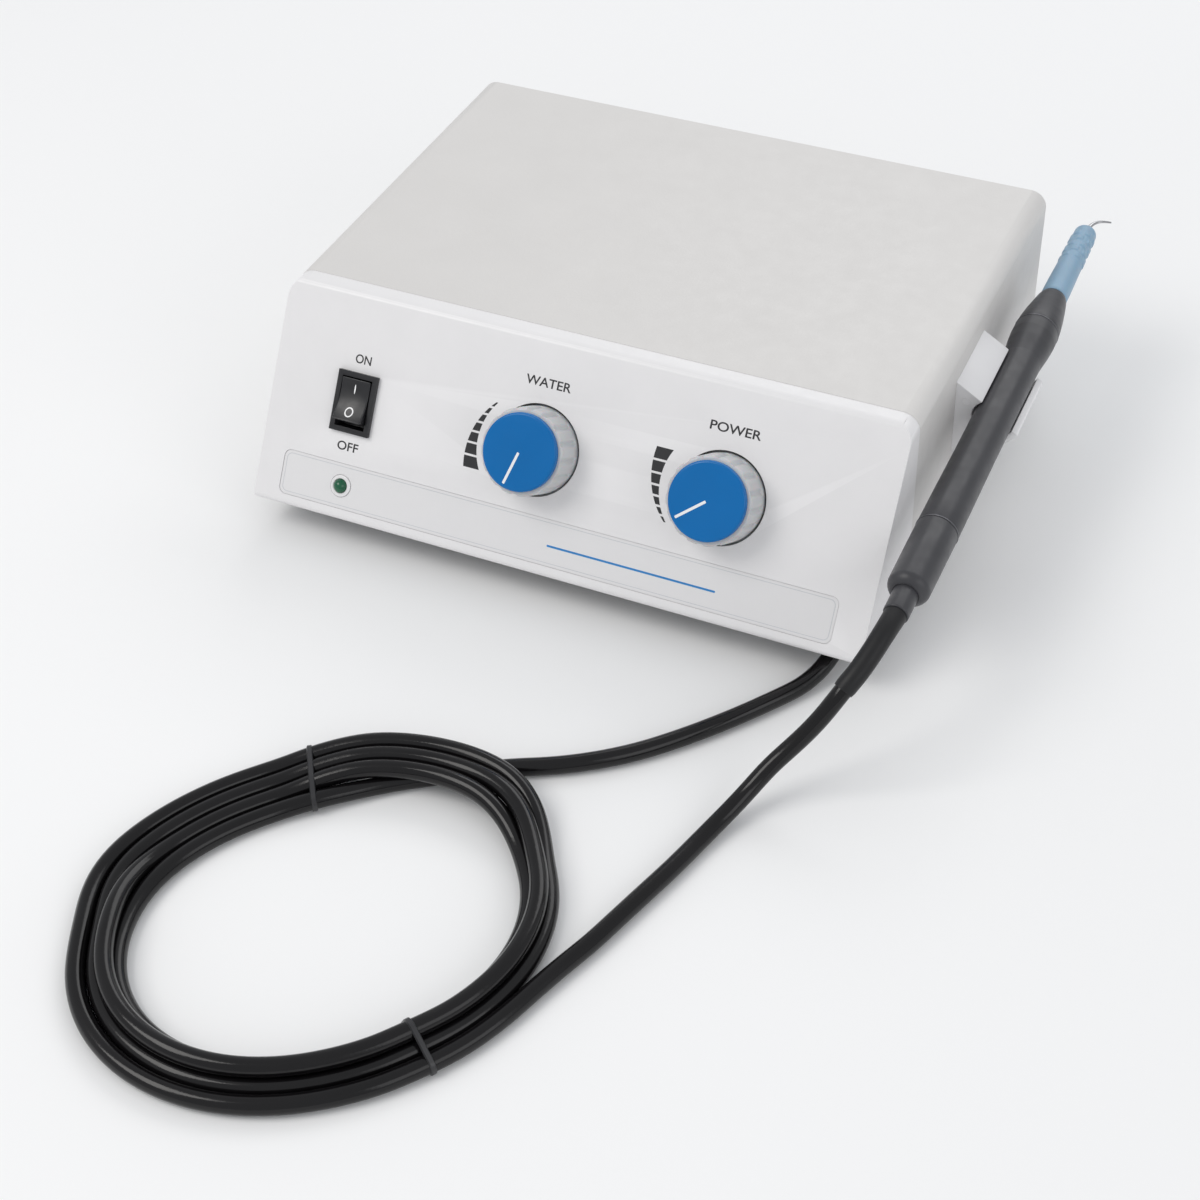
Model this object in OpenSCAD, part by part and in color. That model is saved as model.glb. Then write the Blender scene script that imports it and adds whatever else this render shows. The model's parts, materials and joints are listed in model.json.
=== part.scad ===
// Desktop ultrasonic scaler: a control box, its cradle, the handpiece that lies in it, and its hose.
// Millimetres, +Z up, +X to the right and +Y to the back of the box. The box stands on z = 0.
// The origin is under the middle of the box and handpiece together, without the hose.

/* [Housing] */
// Width of the box
body_w = 224; // [220:1:228]
// Height of the box above its feet
body_h = 67.5; // [67:0.5:69]
// Depth of the painted cover behind the console
cover_d = 142; // [140:1:146]
// How far the console's lower edge stands in front of the cover
console_d = 48.5; // [48:0.5:50]
// Angle of the control face from the vertical
face_tilt = 32.4; // [32:0.1:33]
// Radius of the bend between the top and each side
bend_r = 6; // [4:0.5:7]
// Wall of the moulded console
console_t = 2.5; // [2.2:0.1:3]
// Sheet thickness of the cover
cover_t = 1.2; // [1:0.1:1.5]
// Height of the rubber feet
foot_h = 12; // [11.5:0.5:13]

/* [Controls] */
// Centre of the water knob across the face
water_x = -11; // [-14:0.5:-8]
// Centre of the power knob across the face
power_x = 55; // [52:0.5:57]
// Height of the knobs and the switch up the slanted face
control_v = 42.5; // [42:0.5:43]
// Radius of the holes that the knobs stand in
knob_hole_r = 15.6; // [15.5:0.1:16.5]
// How far the knobs stand proud of the face
knob_h = 14.2; // [13:0.1:15]
// Centre of the rocker switch and the lamp across the face
switch_x = -79.4; // [-82:0.1:-76]
// Rest angle of the rocker, with its I end pressed in
rocker_rest = 11; // [9:0.5:11]
// Height of the lamp up the slanted face
lamp_v = 13.3; // [13:0.1:14]

/* [Handpiece] */
// Slope of the cradle and handpiece, tip end up
hand_tilt = 3; // [2:0.5:3.5]
// Radius of the handpiece where the cradle holds it
waist_r = 6.7; // [6.6:0.05:6.8]
// Radius of the cradle's trough
trough_r = 7.3; // [7.2:0.05:7.4]
// Length of the cradle along the handpiece
cradle_len = 30; // [28:1:31]
// Distance from the cradle's middle to the nose end
nose_end = 55.4; // [54:0.2:57]
// Distance from the cradle's middle to the front of the grip
grip_end = 99; // [97:0.5:101]

/* [Hose] */
// Outer diameter of the hose
hose_d = 5.8; // [5.6:0.1:6]
// Outer radius of the tied coil
coil_outer_r = 76; // [74:1:78]
// Inner radius of the tied coil
coil_inner_r = 46; // [44:1:48]

/* [Hidden] */
$fn = 48;

slack = 0.05;
top_z = foot_h + body_h;
half_w = body_w / 2;
console_top = top_z - 0.2;
pan_t = 1.5;
wall_y = 1.5;
rear_y = cover_d - 2.8;

// Handpiece axis where it crosses the middle of the cradle.
hand_x = half_w + 13.2;
hand_y = 55.3;
hand_z = foot_h + 42.5;
nose_seam = 35.2;
tail_seam = -73.8;
tail_end = -104;
spigot_end = -113.5;
spigot_tip_r = 3.9;
cradle_lip = 8.6;

// The tip's centre line, from the front of the grip, as [sideways, along the axis].
tip_path = [[0, 0.05], [0.1, 1.8], [0.4, 3.8], [1.1, 5.6], [2.4, 7.2], [4.3, 8.1], [6.8, 8.5]];
tip_r0 = 0.95;
tip_r1 = 0.25;

// The box's place, so that the box and handpiece together are centred on the origin.
left_x = -half_w;
right_x = hand_x + cradle_lip;
front_y = hand_y + spigot_end * cos(hand_tilt) - spigot_tip_r * sin(hand_tilt);
back_y = hand_y + (grip_end + tip_path[len(tip_path) - 1].y + tip_r1) * cos(hand_tilt);
box_x = -(left_x + right_x) / 2;
box_y = -(front_y + back_y) / 2;

// The hose's route over the surface, from the gland to the coil. It lies with its middle 3 above it.
feed_route = [[91, -62, 23], [91, -69, 22], [91, -76, 18.5], [90.5, -83, 13], [89.5, -90, 7.5],
    [87.5, -97, 4.5], [84, -105, 3], [79, -113, 3], [70, -126, 3], [59, -140, 3], [47, -153, 3],
    [36, -162, 3],
    [25, -169, 3], [13, -175, 3]];
// Its way from the coil up to the end of the handpiece's sleeve.
lead_route = [[65.5, -229, 3], [69, -217, 3], [72.5, -205, 3], [76, -193, 3], [79, -181, 3], [82, -171, 4],
    [85, -163, 6], [88, -157, 9.5], [91, -152, 13.5], [95, -148, 18], [99, -144.5, 23], [103, -141, 29],
    [106.5, -137, 35.5]];
sleeve_route = [[107.3, -136, 37], [110, -131, 41], [112, -125, 44.5], [113.5, -118, 47.5],
    [114.3, -110.4, 48.5]];
coil_centre = [-9, -252];
coil_h = 15;

function arc(c, r, a0, a1, n = 8) = [for (i = [0 : n]) c + r * [cos(a0 + (a1 - a0) * i / n),
    sin(a0 + (a1 - a0) * i / n)]];
function unit(v) = v / norm(v);
function direction(p, i) = unit(p[min(i + 1, len(p) - 1)] - p[max(i - 1, 0)]);

// A closed tube of round section along a path; r is its radius at each end.
module sweep(path, r0, r1, sides, up = [0, 0, 1]) {
    n = len(path);
    points = [for (i = [0 : n - 1]) let (t = direction(path, i), s = unit(cross(t, up)), u = cross(s, t),
        r = r0 + (r1 - r0) * i / (n - 1)) each [for (k = [0 : sides - 1])
        path[i] + r * (cos(360 * k / sides) * s + sin(360 * k / sides) * u)]];
    walls = [for (i = [0 : n - 2]) each [for (k = [0 : sides - 1]) let (a = i * sides + k,
        b = i * sides + (k + 1) % sides) each [[a, b, b + sides], [a, b + sides, a + sides]]]];
    polyhedron(points, concat([[for (k = [sides - 1 : -1 : 0]) k]], walls,
        [[for (k = [0 : sides - 1]) (n - 1) * sides + k]]));
}

module placed() translate([box_x, box_y, 0]) children();

// Children stand on the slanted face at x across it and v up it, with +Z out of the face.
module on_face(x, v) translate([x, -console_d, foot_h]) rotate([90 - face_tilt, 0, 0])
    translate([0, v, 0]) children();

// Children lie on the handpiece's axis, with +Z towards its tip and +X away from the box.
module on_hand() translate([hand_x, hand_y, hand_z]) rotate([hand_tilt - 90, 0, 0]) children();

module screw(head_r, head_h, shank_r, length) {
    difference() {
        cylinder(r = head_r, h = head_h);
        translate([0, 0, head_h - 0.7]) rotate([0, 0, 45]) cube([head_r * 1.3, 0.7, 1.6], center = true);
        translate([0, 0, head_h - 0.7]) rotate([0, 0, 135]) cube([head_r * 1.3, 0.7, 1.6], center = true);
    }
    translate([0, 0, -length]) cylinder(r = shank_r, h = length + 0.2);
}

// Outline of the box seen from the front: square at the bottom, bent at the top.
module bent_outline(w, z0, z1, r) {
    translate([-w / 2, z0]) square([w, z1 - z0 - r]);
    translate([-w / 2 + r, z0]) square([w - 2 * r, z1 - z0]);
    for (side = [-1, 1]) translate([side * (w / 2 - r), z1 - r]) circle(r);
}

module bent_prism(w, z0, z1, r, y0, y1) translate([0, y1, 0]) rotate([90, 0, 0])
    linear_extrude(y1 - y0) bent_outline(w, z0, z1, r);

// Y of the control face at height z, t inside its outer surface.
function face_y(z, t = 0) = -console_d + (z - foot_h) * tan(face_tilt) + t / cos(face_tilt);

module side_prism(w, points) translate([-w / 2, 0, 0]) rotate([90, 0, 90]) linear_extrude(w) polygon(points);

module round_plate(w, h, t, r) linear_extrude(t) {
    square([w - 2 * r, h], center = true);
    square([w, h - 2 * r], center = true);
    for (x = [-1, 1], y = [-1, 1]) translate([x * (w / 2 - r), y * (h / 2 - r)]) circle(r);
}

bezel_w = 15;
bezel_h = 21;
switch_cut = [13.2, 19.2];
lamp_r = 2.5;
m3_hole = 1.5;
m3_shank = 1.45;
pan_z = foot_h + cover_t + slack;
pan_top = pan_z + pan_t;
flange_w = 8;
// Height of the screw heads' undersides inside the feet.
foot_screw_z = 7;
feet = [for (x = [-92, 92], y = [16, 126]) [x, y]];
lip_screws = [for (x = [-1, 1], y = [40, 102]) [x * (half_w - 5), y]];
boss_x = half_w - 5.4;
boss_z = [40, 66];
bracket_bosses = [for (x = [-36, 80], v = [27, 57]) [x, v]];
bracket_h = -12;
bracket_t = 1.5;
cradle_holes = [for (y = [-9, 9]) y];
cradle_hole_z = -17;
gland_x = feed_route[0].x - box_x;
gland_z = 23;
gland_r = 5.5;
gland_flange_r = 7;
inlet_x = -80;
jack_x = 20;
water_in_x = 85;
port_z = 44;
rear_t = 1.6;
rear_face = rear_y + rear_t;
rear_holes = [for (x = [-100, -40, 55, 102]) x];
rear_hole_z = 22;

module top_cover() color("ivory") placed() difference() {
    union() {
        difference() {
            bent_prism(body_w, foot_h, top_z, bend_r, 0, cover_d);
            bent_prism(body_w - 2 * cover_t, foot_h - 1, top_z - cover_t, bend_r - cover_t, -1, cover_d + 1);
        }
        for (side = [-1, 1])
            translate([side * (half_w - 0.5 - flange_w / 2), rear_y / 2, foot_h + cover_t / 2])
            cube([flange_w, rear_y - 10, cover_t], center = true);
    }
    for (p = lip_screws) translate([p.x, p.y, foot_h - 1]) cylinder(r = m3_hole + 0.1, h = 4);
    for (y = cradle_holes) cradle_frame() translate([-cradle_wall - 3, cradle_hole_z, y]) rotate([0, 90, 0])
        cylinder(r = m3_hole + 0.1, h = 5);
}

module front_console() color("whitesmoke") placed() difference() {
    union() {
        difference() {
            intersection() {
                side_prism(body_w, concat([[0, foot_h]], arc([face_y(foot_h + 2, 2), foot_h + 2], 2, 270,
                    180 - face_tilt, 4), arc([face_y(console_top - 3, 3), console_top - 3], 3,
                    180 - face_tilt, 90, 5), [[0, console_top]]));
                bent_prism(body_w, foot_h, console_top, bend_r, -console_d - 1, 0);
            }
            intersection() {
                side_prism(body_w, [[face_y(foot_h - 1, console_t), foot_h - 1],
                    [face_y(console_top - console_t, console_t), console_top - console_t],
                    [1, console_top - console_t], [1, foot_h - 1]]);
                bent_prism(body_w - 2 * console_t, foot_h - 1, console_top - console_t, bend_r - console_t,
                    -console_d - 1, 1);
            }
        }
        for (side = [-1, 1], z = boss_z) translate([side * boss_x, 0, z]) rotate([90, 0, 0])
            cylinder(r = 3.4, h = 12);
        for (p = bracket_bosses) on_face(p.x, p.y) translate([0, 0, bracket_h + slack])
            cylinder(r = 3.4, h = -bracket_h - 1);
    }
    for (side = [-1, 1], z = boss_z) translate([side * boss_x, 1, z]) rotate([90, 0, 0])
        cylinder(r = m3_hole, h = 11);
    for (p = bracket_bosses) on_face(p.x, p.y) translate([0, 0, bracket_h - 1]) cylinder(r = m3_hole, h = 9);
    for (x = [water_x, power_x]) on_face(x, control_v) translate([0, 0, -4])
        cylinder(r = knob_hole_r, h = 6);
    on_face(switch_x, control_v) translate([0, 0, -3]) cube([switch_cut.x, switch_cut.y, 8], center = true);
    on_face(switch_x, lamp_v) {
        translate([0, 0, -4]) cylinder(r = lamp_r + slack, h = 6);
        translate([0, 0, -0.6]) cylinder(r = 4, h = 2);
    }
    on_face(label_x, lamp_v) translate([0, 0, -0.6]) round_plate(label_w + 0.3, label_h + 0.3, 2, 2.65);
}

label_x = -0.8;
label_w = 203.5;
label_h = 15.5;
module label_plate() color("lightgray") placed() on_face(label_x, lamp_v) difference() {
    translate([0, 0, -0.55]) round_plate(label_w, label_h, 0.3, 2.5);
    translate([switch_x - label_x, 0, -1]) cylinder(r = 4, h = 2);
}

module base_pan() color("silver") placed() difference() {
    union() {
        translate([-half_w + cover_t + 0.2, wall_y, pan_z])
            cube([body_w - 2 * cover_t - 0.4, rear_y - wall_y - slack, pan_t]);
        translate([-half_w + cover_t + 0.2, wall_y, pan_z])
            cube([body_w - 2 * cover_t - 0.4, pan_t, 58]);
        for (side = [-1, 1]) translate([side * (half_w - cover_t - 0.95), rear_y / 2, pan_z + 6])
            cube([1.5, rear_y - 8, 12], center = true);
        translate([-half_w + 4, rear_y - slack - 1.5, pan_z]) cube([body_w - 8, 1.5, 14]);
    }
    for (p = lip_screws) translate([p.x, p.y, pan_z - 1]) cylinder(r = m3_hole, h = 4);
    for (p = feet) translate([p.x, p.y, pan_z - 1]) cylinder(r = m3_hole, h = 4);
    for (side = [-1, 1], z = boss_z) translate([side * boss_x, wall_y + 3, z]) rotate([90, 0, 0])
        cylinder(r = m3_hole + 0.1, h = 5);
    for (x = rear_holes) translate([x, rear_y + 1, rear_hole_z]) rotate([90, 0, 0])
        cylinder(r = m3_hole, h = 4);
    for (x = board_posts_x, y = board_posts_y) translate([x, y, pan_z - 1]) cylinder(r = m3_hole, h = 4);
    translate([gland_x, wall_y + 3, gland_z]) rotate([90, 0, 0]) cylinder(r = gland_r + 0.1, h = 5);
    for (x = [-34 : 4 : 34]) translate([x, 70, pan_z - 1]) cube([1.8, 26, 4]);
    translate([-100, wall_y - 1, 30]) cube([190, 4, 36]);
}

module rear_panel() color("lightgray") placed() difference() {
    bent_prism(body_w - 2 * cover_t - 0.2, pan_top - pan_t, top_z - cover_t - 0.1, bend_r - cover_t - 0.1,
        rear_y, rear_face);
    for (x = rear_holes) translate([x, rear_face + 1, rear_hole_z]) rotate([90, 0, 0])
        cylinder(r = m3_hole + 0.1, h = 4);
    translate([inlet_x, rear_y, port_z]) cube([27.4, 6, 31.4], center = true);
    translate([jack_x, rear_face + 1, port_z]) rotate([90, 0, 0]) cylinder(r = 7.1, h = 4);
    translate([water_in_x, rear_face + 1, port_z]) rotate([90, 0, 0]) cylinder(r = 4.1, h = 4);
    for (x = [-40 : 4 : -8]) translate([x, rear_y - 1, 34]) cube([1.8, 4, 26]);
}

module rubber_feet() color("dimgray") placed() for (p = feet) translate([p.x, p.y, 0]) difference() {
    rotate_extrude() polygon([[0, 0], [7, 0], [7.8, 0.8], [9, pan_z - 0.6], [8.4, pan_z], [0, pan_z]]);
    translate([0, 0, -1]) cylinder(r = m3_hole + 0.1, h = pan_z + 2);
    translate([0, 0, -1]) cylinder(r = 3.6, h = foot_screw_z + 1.05);
}

module chassis_screws() color("silver") placed() {
    for (p = feet) translate([p.x, p.y, foot_screw_z]) mirror([0, 0, 1])
        screw(2.8, 2, m3_shank, pan_top + 1.5 - foot_screw_z);
    for (p = lip_screws) translate([p.x, p.y, foot_h]) mirror([0, 0, 1]) screw(2.8, 1.8, m3_shank, 5);
    for (side = [-1, 1], z = boss_z) translate([side * boss_x, wall_y + pan_t, z]) rotate([-90, 0, 0])
        screw(2.6, 1.8, m3_shank, 10);
    for (x = rear_holes) translate([x, rear_face, rear_hole_z]) rotate([-90, 0, 0])
        screw(2.6, 1.2, m3_shank, 5);
}

// Rocker switch: the housing stands in the face, and the rocker turns on its own stub axle.
rocker_pivot_h = -2;
module switch_housing() color("black") placed() on_face(switch_x, control_v) difference() {
    union() {
        translate([0, 0, 0.8 + slack]) cube([bezel_w, bezel_h, 1.6], center = true);
        translate([0, 0, -6.9]) cube([switch_cut.x - 0.2, switch_cut.y - 0.2, 14.2], center = true);
        for (v = [-5, 0, 5]) translate([0, v, -17]) cube([4.8, 0.8, 8], center = true);
    }
    translate([0, 0, -1]) cube([11.4, 17.4, 10], center = true);
    translate([-8, 0, rocker_pivot_h]) rotate([0, 90, 0]) cylinder(r = 1.25, h = 16);
}

module rocker() color("black") placed() on_face(switch_x, control_v) translate([0, 0, rocker_pivot_h])
    rotate([-rocker_rest, 0, 0]) {
        translate([-5.4, 0, 0]) rotate([90, 0, 90]) linear_extrude(10.8)
            polygon([[-7.4, 5.9], [-7.3, 1.5], [-4.5, -2.2], [4.5, -2.2], [7.3, 1.5], [7.4, 5.9],
                [3.7, 4.8], [0, 4.4], [-3.7, 4.8]]);
        translate([-6.3, 0, 0]) rotate([0, 90, 0]) cylinder(r = 1.2, h = 12.6);
    }

module status_lamp() color("seagreen") placed() on_face(switch_x, lamp_v) rotate_extrude()
    polygon(concat([[0, -8], [lamp_r, -8], [lamp_r, -0.4]], arc([0, -0.4], lamp_r, 0, 90, 6)));

module control_bracket() color("silver") placed() difference() {
    on_face(22, control_v) translate([0, 0, bracket_h - bracket_t / 2])
        cube([134, 40, bracket_t], center = true);
    for (p = bracket_bosses) on_face(p.x, p.y) translate([0, 0, bracket_h - 3])
        cylinder(r = m3_hole + 0.1, h = 5);
    on_face(power_x, control_v) translate([0, 0, bracket_h - 3]) cylinder(r = 3.6, h = 5);
    on_face(water_x, control_v) translate([0, 0, bracket_h - 3]) cylinder(r = 5.1, h = 5);
}

shaft_r = 3;
shaft_top = 9;
module potentiometer() color("darkslategray") placed() on_face(power_x, control_v) difference() {
    union() {
        translate([0, 0, -23]) cylinder(r = 8, h = 23 + bracket_h - bracket_t - slack);
        translate([0, 0, -16]) cylinder(r = 3.5, h = 9);
        for (x = [-4, 0, 4]) translate([x, -10, -20]) cube([1.6, 8, 1], center = true);
    }
    translate([0, 0, -21]) cylinder(r = shaft_r + slack, h = 20);
}

module power_shaft() color("silver") placed() on_face(power_x, control_v) translate([0, 0, -20.5])
    cylinder(r = shaft_r, h = 20.5 + shaft_top);

// A fluted knob skirt with a shallow scallop between each pair of flutes.
skirt_r = 14.8;
skirt_top = 12;
module knob_skirt() difference() {
    translate([0, 0, -1.5]) cylinder(r = skirt_r, h = skirt_top + 1.5, $fn = 96);
    for (a = [0 : 22.5 : 359]) rotate(a) translate([skirt_r + 7, 0, -2])
        cylinder(r = 7.6, h = skirt_top + 4);
    translate([0, 0, -2]) cylinder(r = shaft_r + slack, h = shaft_top + 2.4);
    translate([0, 0, -2]) difference() {
        cylinder(r = 12.4, h = 10);
        translate([0, 0, -1]) cylinder(r = 5, h = 12);
    }
}

cap_r = 13.1;
module knob_cap() rotate_extrude() polygon(concat([[0, skirt_top + slack], [cap_r, skirt_top + slack]],
    arc([cap_r - 1.2, knob_h - 1.2], 1.2, 0, 90, 4),
    [[10.6, knob_h], [10.4, knob_h - 0.25], [0, knob_h - 0.25]]));

// The raised line on a cap, from its middle out at the given angle.
module knob_line(angle) rotate(angle) translate([0.3, -0.45, knob_h - 0.22]) cube([9.9, 0.9, 0.3]);

power_rest = -140.75;
water_rest = -106.5;
module power_knob() color("gainsboro") placed() on_face(power_x, control_v) knob_skirt();
module power_cap() color("royalblue") placed() on_face(power_x, control_v) knob_cap();
module power_pointer() color("white") placed() on_face(power_x, control_v) knob_line(power_rest);
module water_knob() color("gainsboro") placed() on_face(water_x, control_v) knob_skirt();
module water_cap() color("royalblue") placed() on_face(water_x, control_v) knob_cap();
module water_pointer() color("white") placed() on_face(water_x, control_v) knob_line(water_rest);

// Needle valve on the water feed: the spindle turns in the bushing and carries the needle in and out.
needle_r = 1.3;
module water_valve() color("goldenrod") placed() on_face(water_x, control_v) difference() {
    union() {
        translate([0, 0, -24]) cylinder(r = 9, h = 24 + bracket_h - bracket_t - slack);
        translate([0, 0, -16]) cylinder(r = 5, h = 8);
        translate([-16, 0, -20]) rotate([0, 90, 0]) cylinder(r = 2.6, h = 32);
    }
    translate([0, 0, -18]) cylinder(r = shaft_r + slack, h = 18);
    translate([0, 0, -23]) cylinder(r = 1, h = 8);
    translate([0, 0, -21.4]) cylinder(r = needle_r + 0.3, h = 6);
    translate([-17, 0, -20]) rotate([0, 90, 0]) cylinder(r = 1.3, h = 34);
}

module valve_spindle() color("silver") placed() on_face(water_x, control_v) difference() {
    translate([0, 0, -16.5]) cylinder(r = shaft_r, h = 16.5 + shaft_top);
    translate([0, 0, -18]) cylinder(r = needle_r + slack, h = 9);
}

module valve_needle() color("silver") placed() on_face(water_x, control_v) {
    translate([0, 0, -20]) cylinder(r = needle_r, h = 10);
    translate([0, 0, -21]) cylinder(r1 = 0.7, r2 = needle_r, h = 1.01);
}

board_z = pan_top + 8;
board_posts_x = [-55, 36];
board_posts_y = [30, 110];
module board_standoffs() color("goldenrod") placed() for (x = board_posts_x, y = board_posts_y)
    translate([x, y, pan_top]) difference() {
        cylinder(r = 3, h = board_z - pan_top - slack, $fn = 6);
        translate([0, 0, -1]) cylinder(r = m3_hole, h = 12);
    }

module circuit_board() color("darkgreen") placed() difference() {
    union() {
        translate([-60, 25, board_z]) cube([101, 90, 1.6]);
        translate([-48, 40, board_z + 1.6]) cube([16, 16, 12]);
        translate([-20, 34, board_z + 1.6]) cube([26, 10, 3.4]);
        translate([-20, 60, board_z + 1.6]) cylinder(r = 9, h = 10);
        for (y = [80 : 9 : 107]) translate([-50, y, board_z + 1.6]) cube([12, 5, 7]);
    }
    for (x = board_posts_x, y = board_posts_y) translate([x, y, board_z - 1])
        cylinder(r = m3_hole + 0.1, h = 4);
    translate([-20, 60, board_z + 1.61]) cylinder(r = 4, h = 12);
}

sink_z = board_z + 1.65;
module heat_sink() color("dimgray") placed() {
    translate([20, 38, sink_z]) cube([3, 66, 30]);
    for (z = [0 : 5 : 29]) translate([22.9, 38, sink_z + z]) cube([13, 66, 1.4]);
}

module power_transistors() color("black") placed() for (y = [52, 84]) {
    translate([15.4, y, sink_z + 5]) cube([4.55, 10, 15]);
    for (dy = [2.4, 4.7, 7]) translate([17.4, y + dy, sink_z + 0.1]) cube([0.6, 0.8, 5]);
}

module capacitors() color("midnightblue") placed() {
    for (y = [78, 98]) translate([-15, y, sink_z]) cylinder(r = 8, h = 28);
    for (x = [-34 : 9 : -15]) translate([x, 30, sink_z]) cylinder(r = 3.5, h = 11);
}

// Mains transformer: a laminated core with two windows, and the winding round its middle leg.
core_at = [-84, 74, pan_top + 20];
module transformer_core() color("gray") placed() translate(core_at) difference() {
    cube([22, 54, 40], center = true);
    for (side = [-1, 1]) translate([0, side * 14, 0]) cube([30, 10, 24], center = true);
}

module transformer_winding() color("saddlebrown") placed() translate(core_at) difference() {
    cube([36, 37, 23.4], center = true);
    cube([22.3, 18.3, 30], center = true);
}

// Mains inlet with its fuse drawer below the pins.
drawer_z = port_z - 11;
module mains_inlet() color("black") placed() difference() {
    union() {
        translate([inlet_x, rear_face + slack + 1, port_z]) cube([31, 2, 35], center = true);
        translate([inlet_x, rear_y - 10, port_z]) cube([27, 26, 31], center = true);
    }
    translate([inlet_x, rear_y - 4.5, port_z + 3.5]) cube([24.4, 17.1, 17], center = true);
    translate([inlet_x, rear_y - 8, drawer_z]) cube([23, 24, 8], center = true);
}

module inlet_pins() color("gold") placed() for (x = [-7, 0, 7])
    translate([inlet_x + x, rear_y - 7, port_z + (x == 0 ? 5.5 : 1.5)]) cube([2, 12, 4], center = true);

drawer_len = 20;
module fuse_drawer() color("black") placed() translate([inlet_x, rear_face + 2.4 - drawer_len / 2, drawer_z])
    difference() {
        union() {
            cube([22.4, drawer_len, 7.4], center = true);
            translate([0, drawer_len / 2 + 0.4, 0]) cube([14, 1.6, 3], center = true);
        }
        translate([0, 0, 1]) cube([21, drawer_len - 4, 7.4], center = true);
    }

module fuse_link() color("lightcyan") placed() translate([inlet_x - 10, rear_y - 7, drawer_z + 0.05])
    rotate([0, 90, 0]) cylinder(r = 2.6, h = 20);

jack_r = 3.25;
module footswitch_socket() color("dimgray") placed() translate([jack_x, rear_face + slack, port_z])
    rotate([-90, 0, 0]) difference() {
        union() {
            translate([0, 0, -18]) cylinder(r = 7, h = 18.1);
            cylinder(r = 9, h = 2.5);
        }
        translate([0, 0, -13.5]) cylinder(r = jack_r, h = 17);
    }

spigot_r = 3;
module water_inlet() color("goldenrod") placed() translate([water_in_x, rear_face + slack, port_z])
    rotate([-90, 0, 0]) difference() {
        union() {
            translate([0, 0, -12]) cylinder(r = 4, h = 12.1);
            cylinder(r = 7, h = 3);
            cylinder(r = spigot_r, h = 16);
        }
        translate([0, 0, -13]) cylinder(r = 1.5, h = 30);
    }

// Solenoid valve on the water feed: the coil lifts a sprung plunger off the seat.
valve_at = [85, 96];
seat_z = pan_top + 10;
core_top = 58;
plunger_r = 4.95;
plunger_len = 20;
module solenoid_body() color("silver") placed() translate([valve_at.x, valve_at.y, 0]) difference() {
    union() {
        translate([-13, -15, pan_top + slack]) cube([26, 30, 15]);
        translate([0, 0, pan_top + 14]) cylinder(r = 6.5, h = core_top - pan_top - 12);
    }
    translate([0, 0, seat_z]) cylinder(r = plunger_r + slack, h = core_top - seat_z);
    translate([0, 0, seat_z - 4]) cylinder(r = 1.2, h = 6);
    translate([0, 17, seat_z - 3]) rotate([90, 0, 0]) cylinder(r = 1.2, h = 18);
    translate([0, -1, seat_z + 2]) rotate([90, 0, 0]) cylinder(r = 1.2, h = 18);
}

module solenoid_coil() color("maroon") placed() translate([valve_at.x, valve_at.y, pan_top + 15.2])
    difference() {
        cylinder(r = 13, h = 24);
        translate([0, 0, -1]) cylinder(r = 6.55, h = 26);
    }

module solenoid_plunger() color("gray") placed() translate([valve_at.x, valve_at.y, seat_z + 0.02])
    cylinder(r = plunger_r, h = plunger_len);

spring_z0 = seat_z + plunger_len + 0.5;
spring_turns = 5;
spring_steps = 12;
spring_h = core_top - spring_z0 - 0.6;
module solenoid_spring() color("silver") placed() translate([valve_at.x, valve_at.y, spring_z0])
    sweep([for (i = [0 : spring_turns * spring_steps]) [3.4 * cos(360 * i / spring_steps),
        3.4 * sin(360 * i / spring_steps), 0.4 + (spring_h - 0.4) * i / (spring_turns * spring_steps)]],
        0.4, 0.4, 6);

tube_r = 2;
// Water tubes: inlet to solenoid valve, solenoid valve to needle valve, needle valve to gland.
tube_routes = [
    [[water_in_x, rear_y - 12.6, port_z], [water_in_x, rear_y - 18, port_z - 3],
        [water_in_x, rear_y - 21, port_z - 10], [valve_at.x, rear_y - 22, port_z - 18],
        [valve_at.x, rear_y - 22.5, seat_z + 1], [valve_at.x, rear_y - 24.5, seat_z - 3],
        [valve_at.x, valve_at.y + 15.1, seat_z - 3]],
    [[valve_at.x, valve_at.y - 15.1, seat_z + 2], [valve_at.x, 70, seat_z + 4], [80, 40, 34], [60, 20, 42],
        [36, 8, 46], [16, 3, 47], [water_x + 16.1, -0.4, 47.5]],
    [[water_x - 16.1, -0.4, 47.5], [-36, 3, 46], [-40, 9, 38], [-34, 12, 28], [0, 12, 21], [60, 12, 20],
        [gland_x - 10, 12, gland_z], [gland_x, 9.5, gland_z]]];
module water_tubes() color("azure") placed() {
    sweep(tube_routes[0], tube_r, tube_r, 8, [1, 0, 0]);
    sweep(tube_routes[1], tube_r, tube_r, 8);
    sweep(tube_routes[2], tube_r, tube_r, 8);
}

// Cradle section: X outwards and Y up from the handpiece's axis, drawn square to that axis.
cradle_wall = hand_x - half_w;
module cradle_frame() translate([hand_x, hand_y, hand_z]) rotate([90 + hand_tilt, 0, 0]) children();
module cradle() color("whitesmoke") placed() cradle_frame() difference() {
    translate([0, 0, -cradle_len / 2]) linear_extrude(cradle_len) difference() {
        polygon([[-cradle_wall, 12], [-4.3, 6.3], [0, 0], [8.3, -3.8], [cradle_lip, -4.6],
        [7.8, -5.8], [4.6, -9],
            [-8.5, -23.5], [-cradle_wall, -24.5]]);
        circle(trough_r);
    }
    for (y = cradle_holes) translate([-cradle_wall - 1, cradle_hole_z, y]) rotate([0, 90, 0])
        cylinder(r = m3_hole, h = 9);
}

module cradle_screws() color("silver") placed() cradle_frame() for (y = cradle_holes)
    translate([-cradle_wall - cover_t, cradle_hole_z, y]) rotate([0, -90, 0]) screw(2.6, 1.8, m3_shank, 8);

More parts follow.
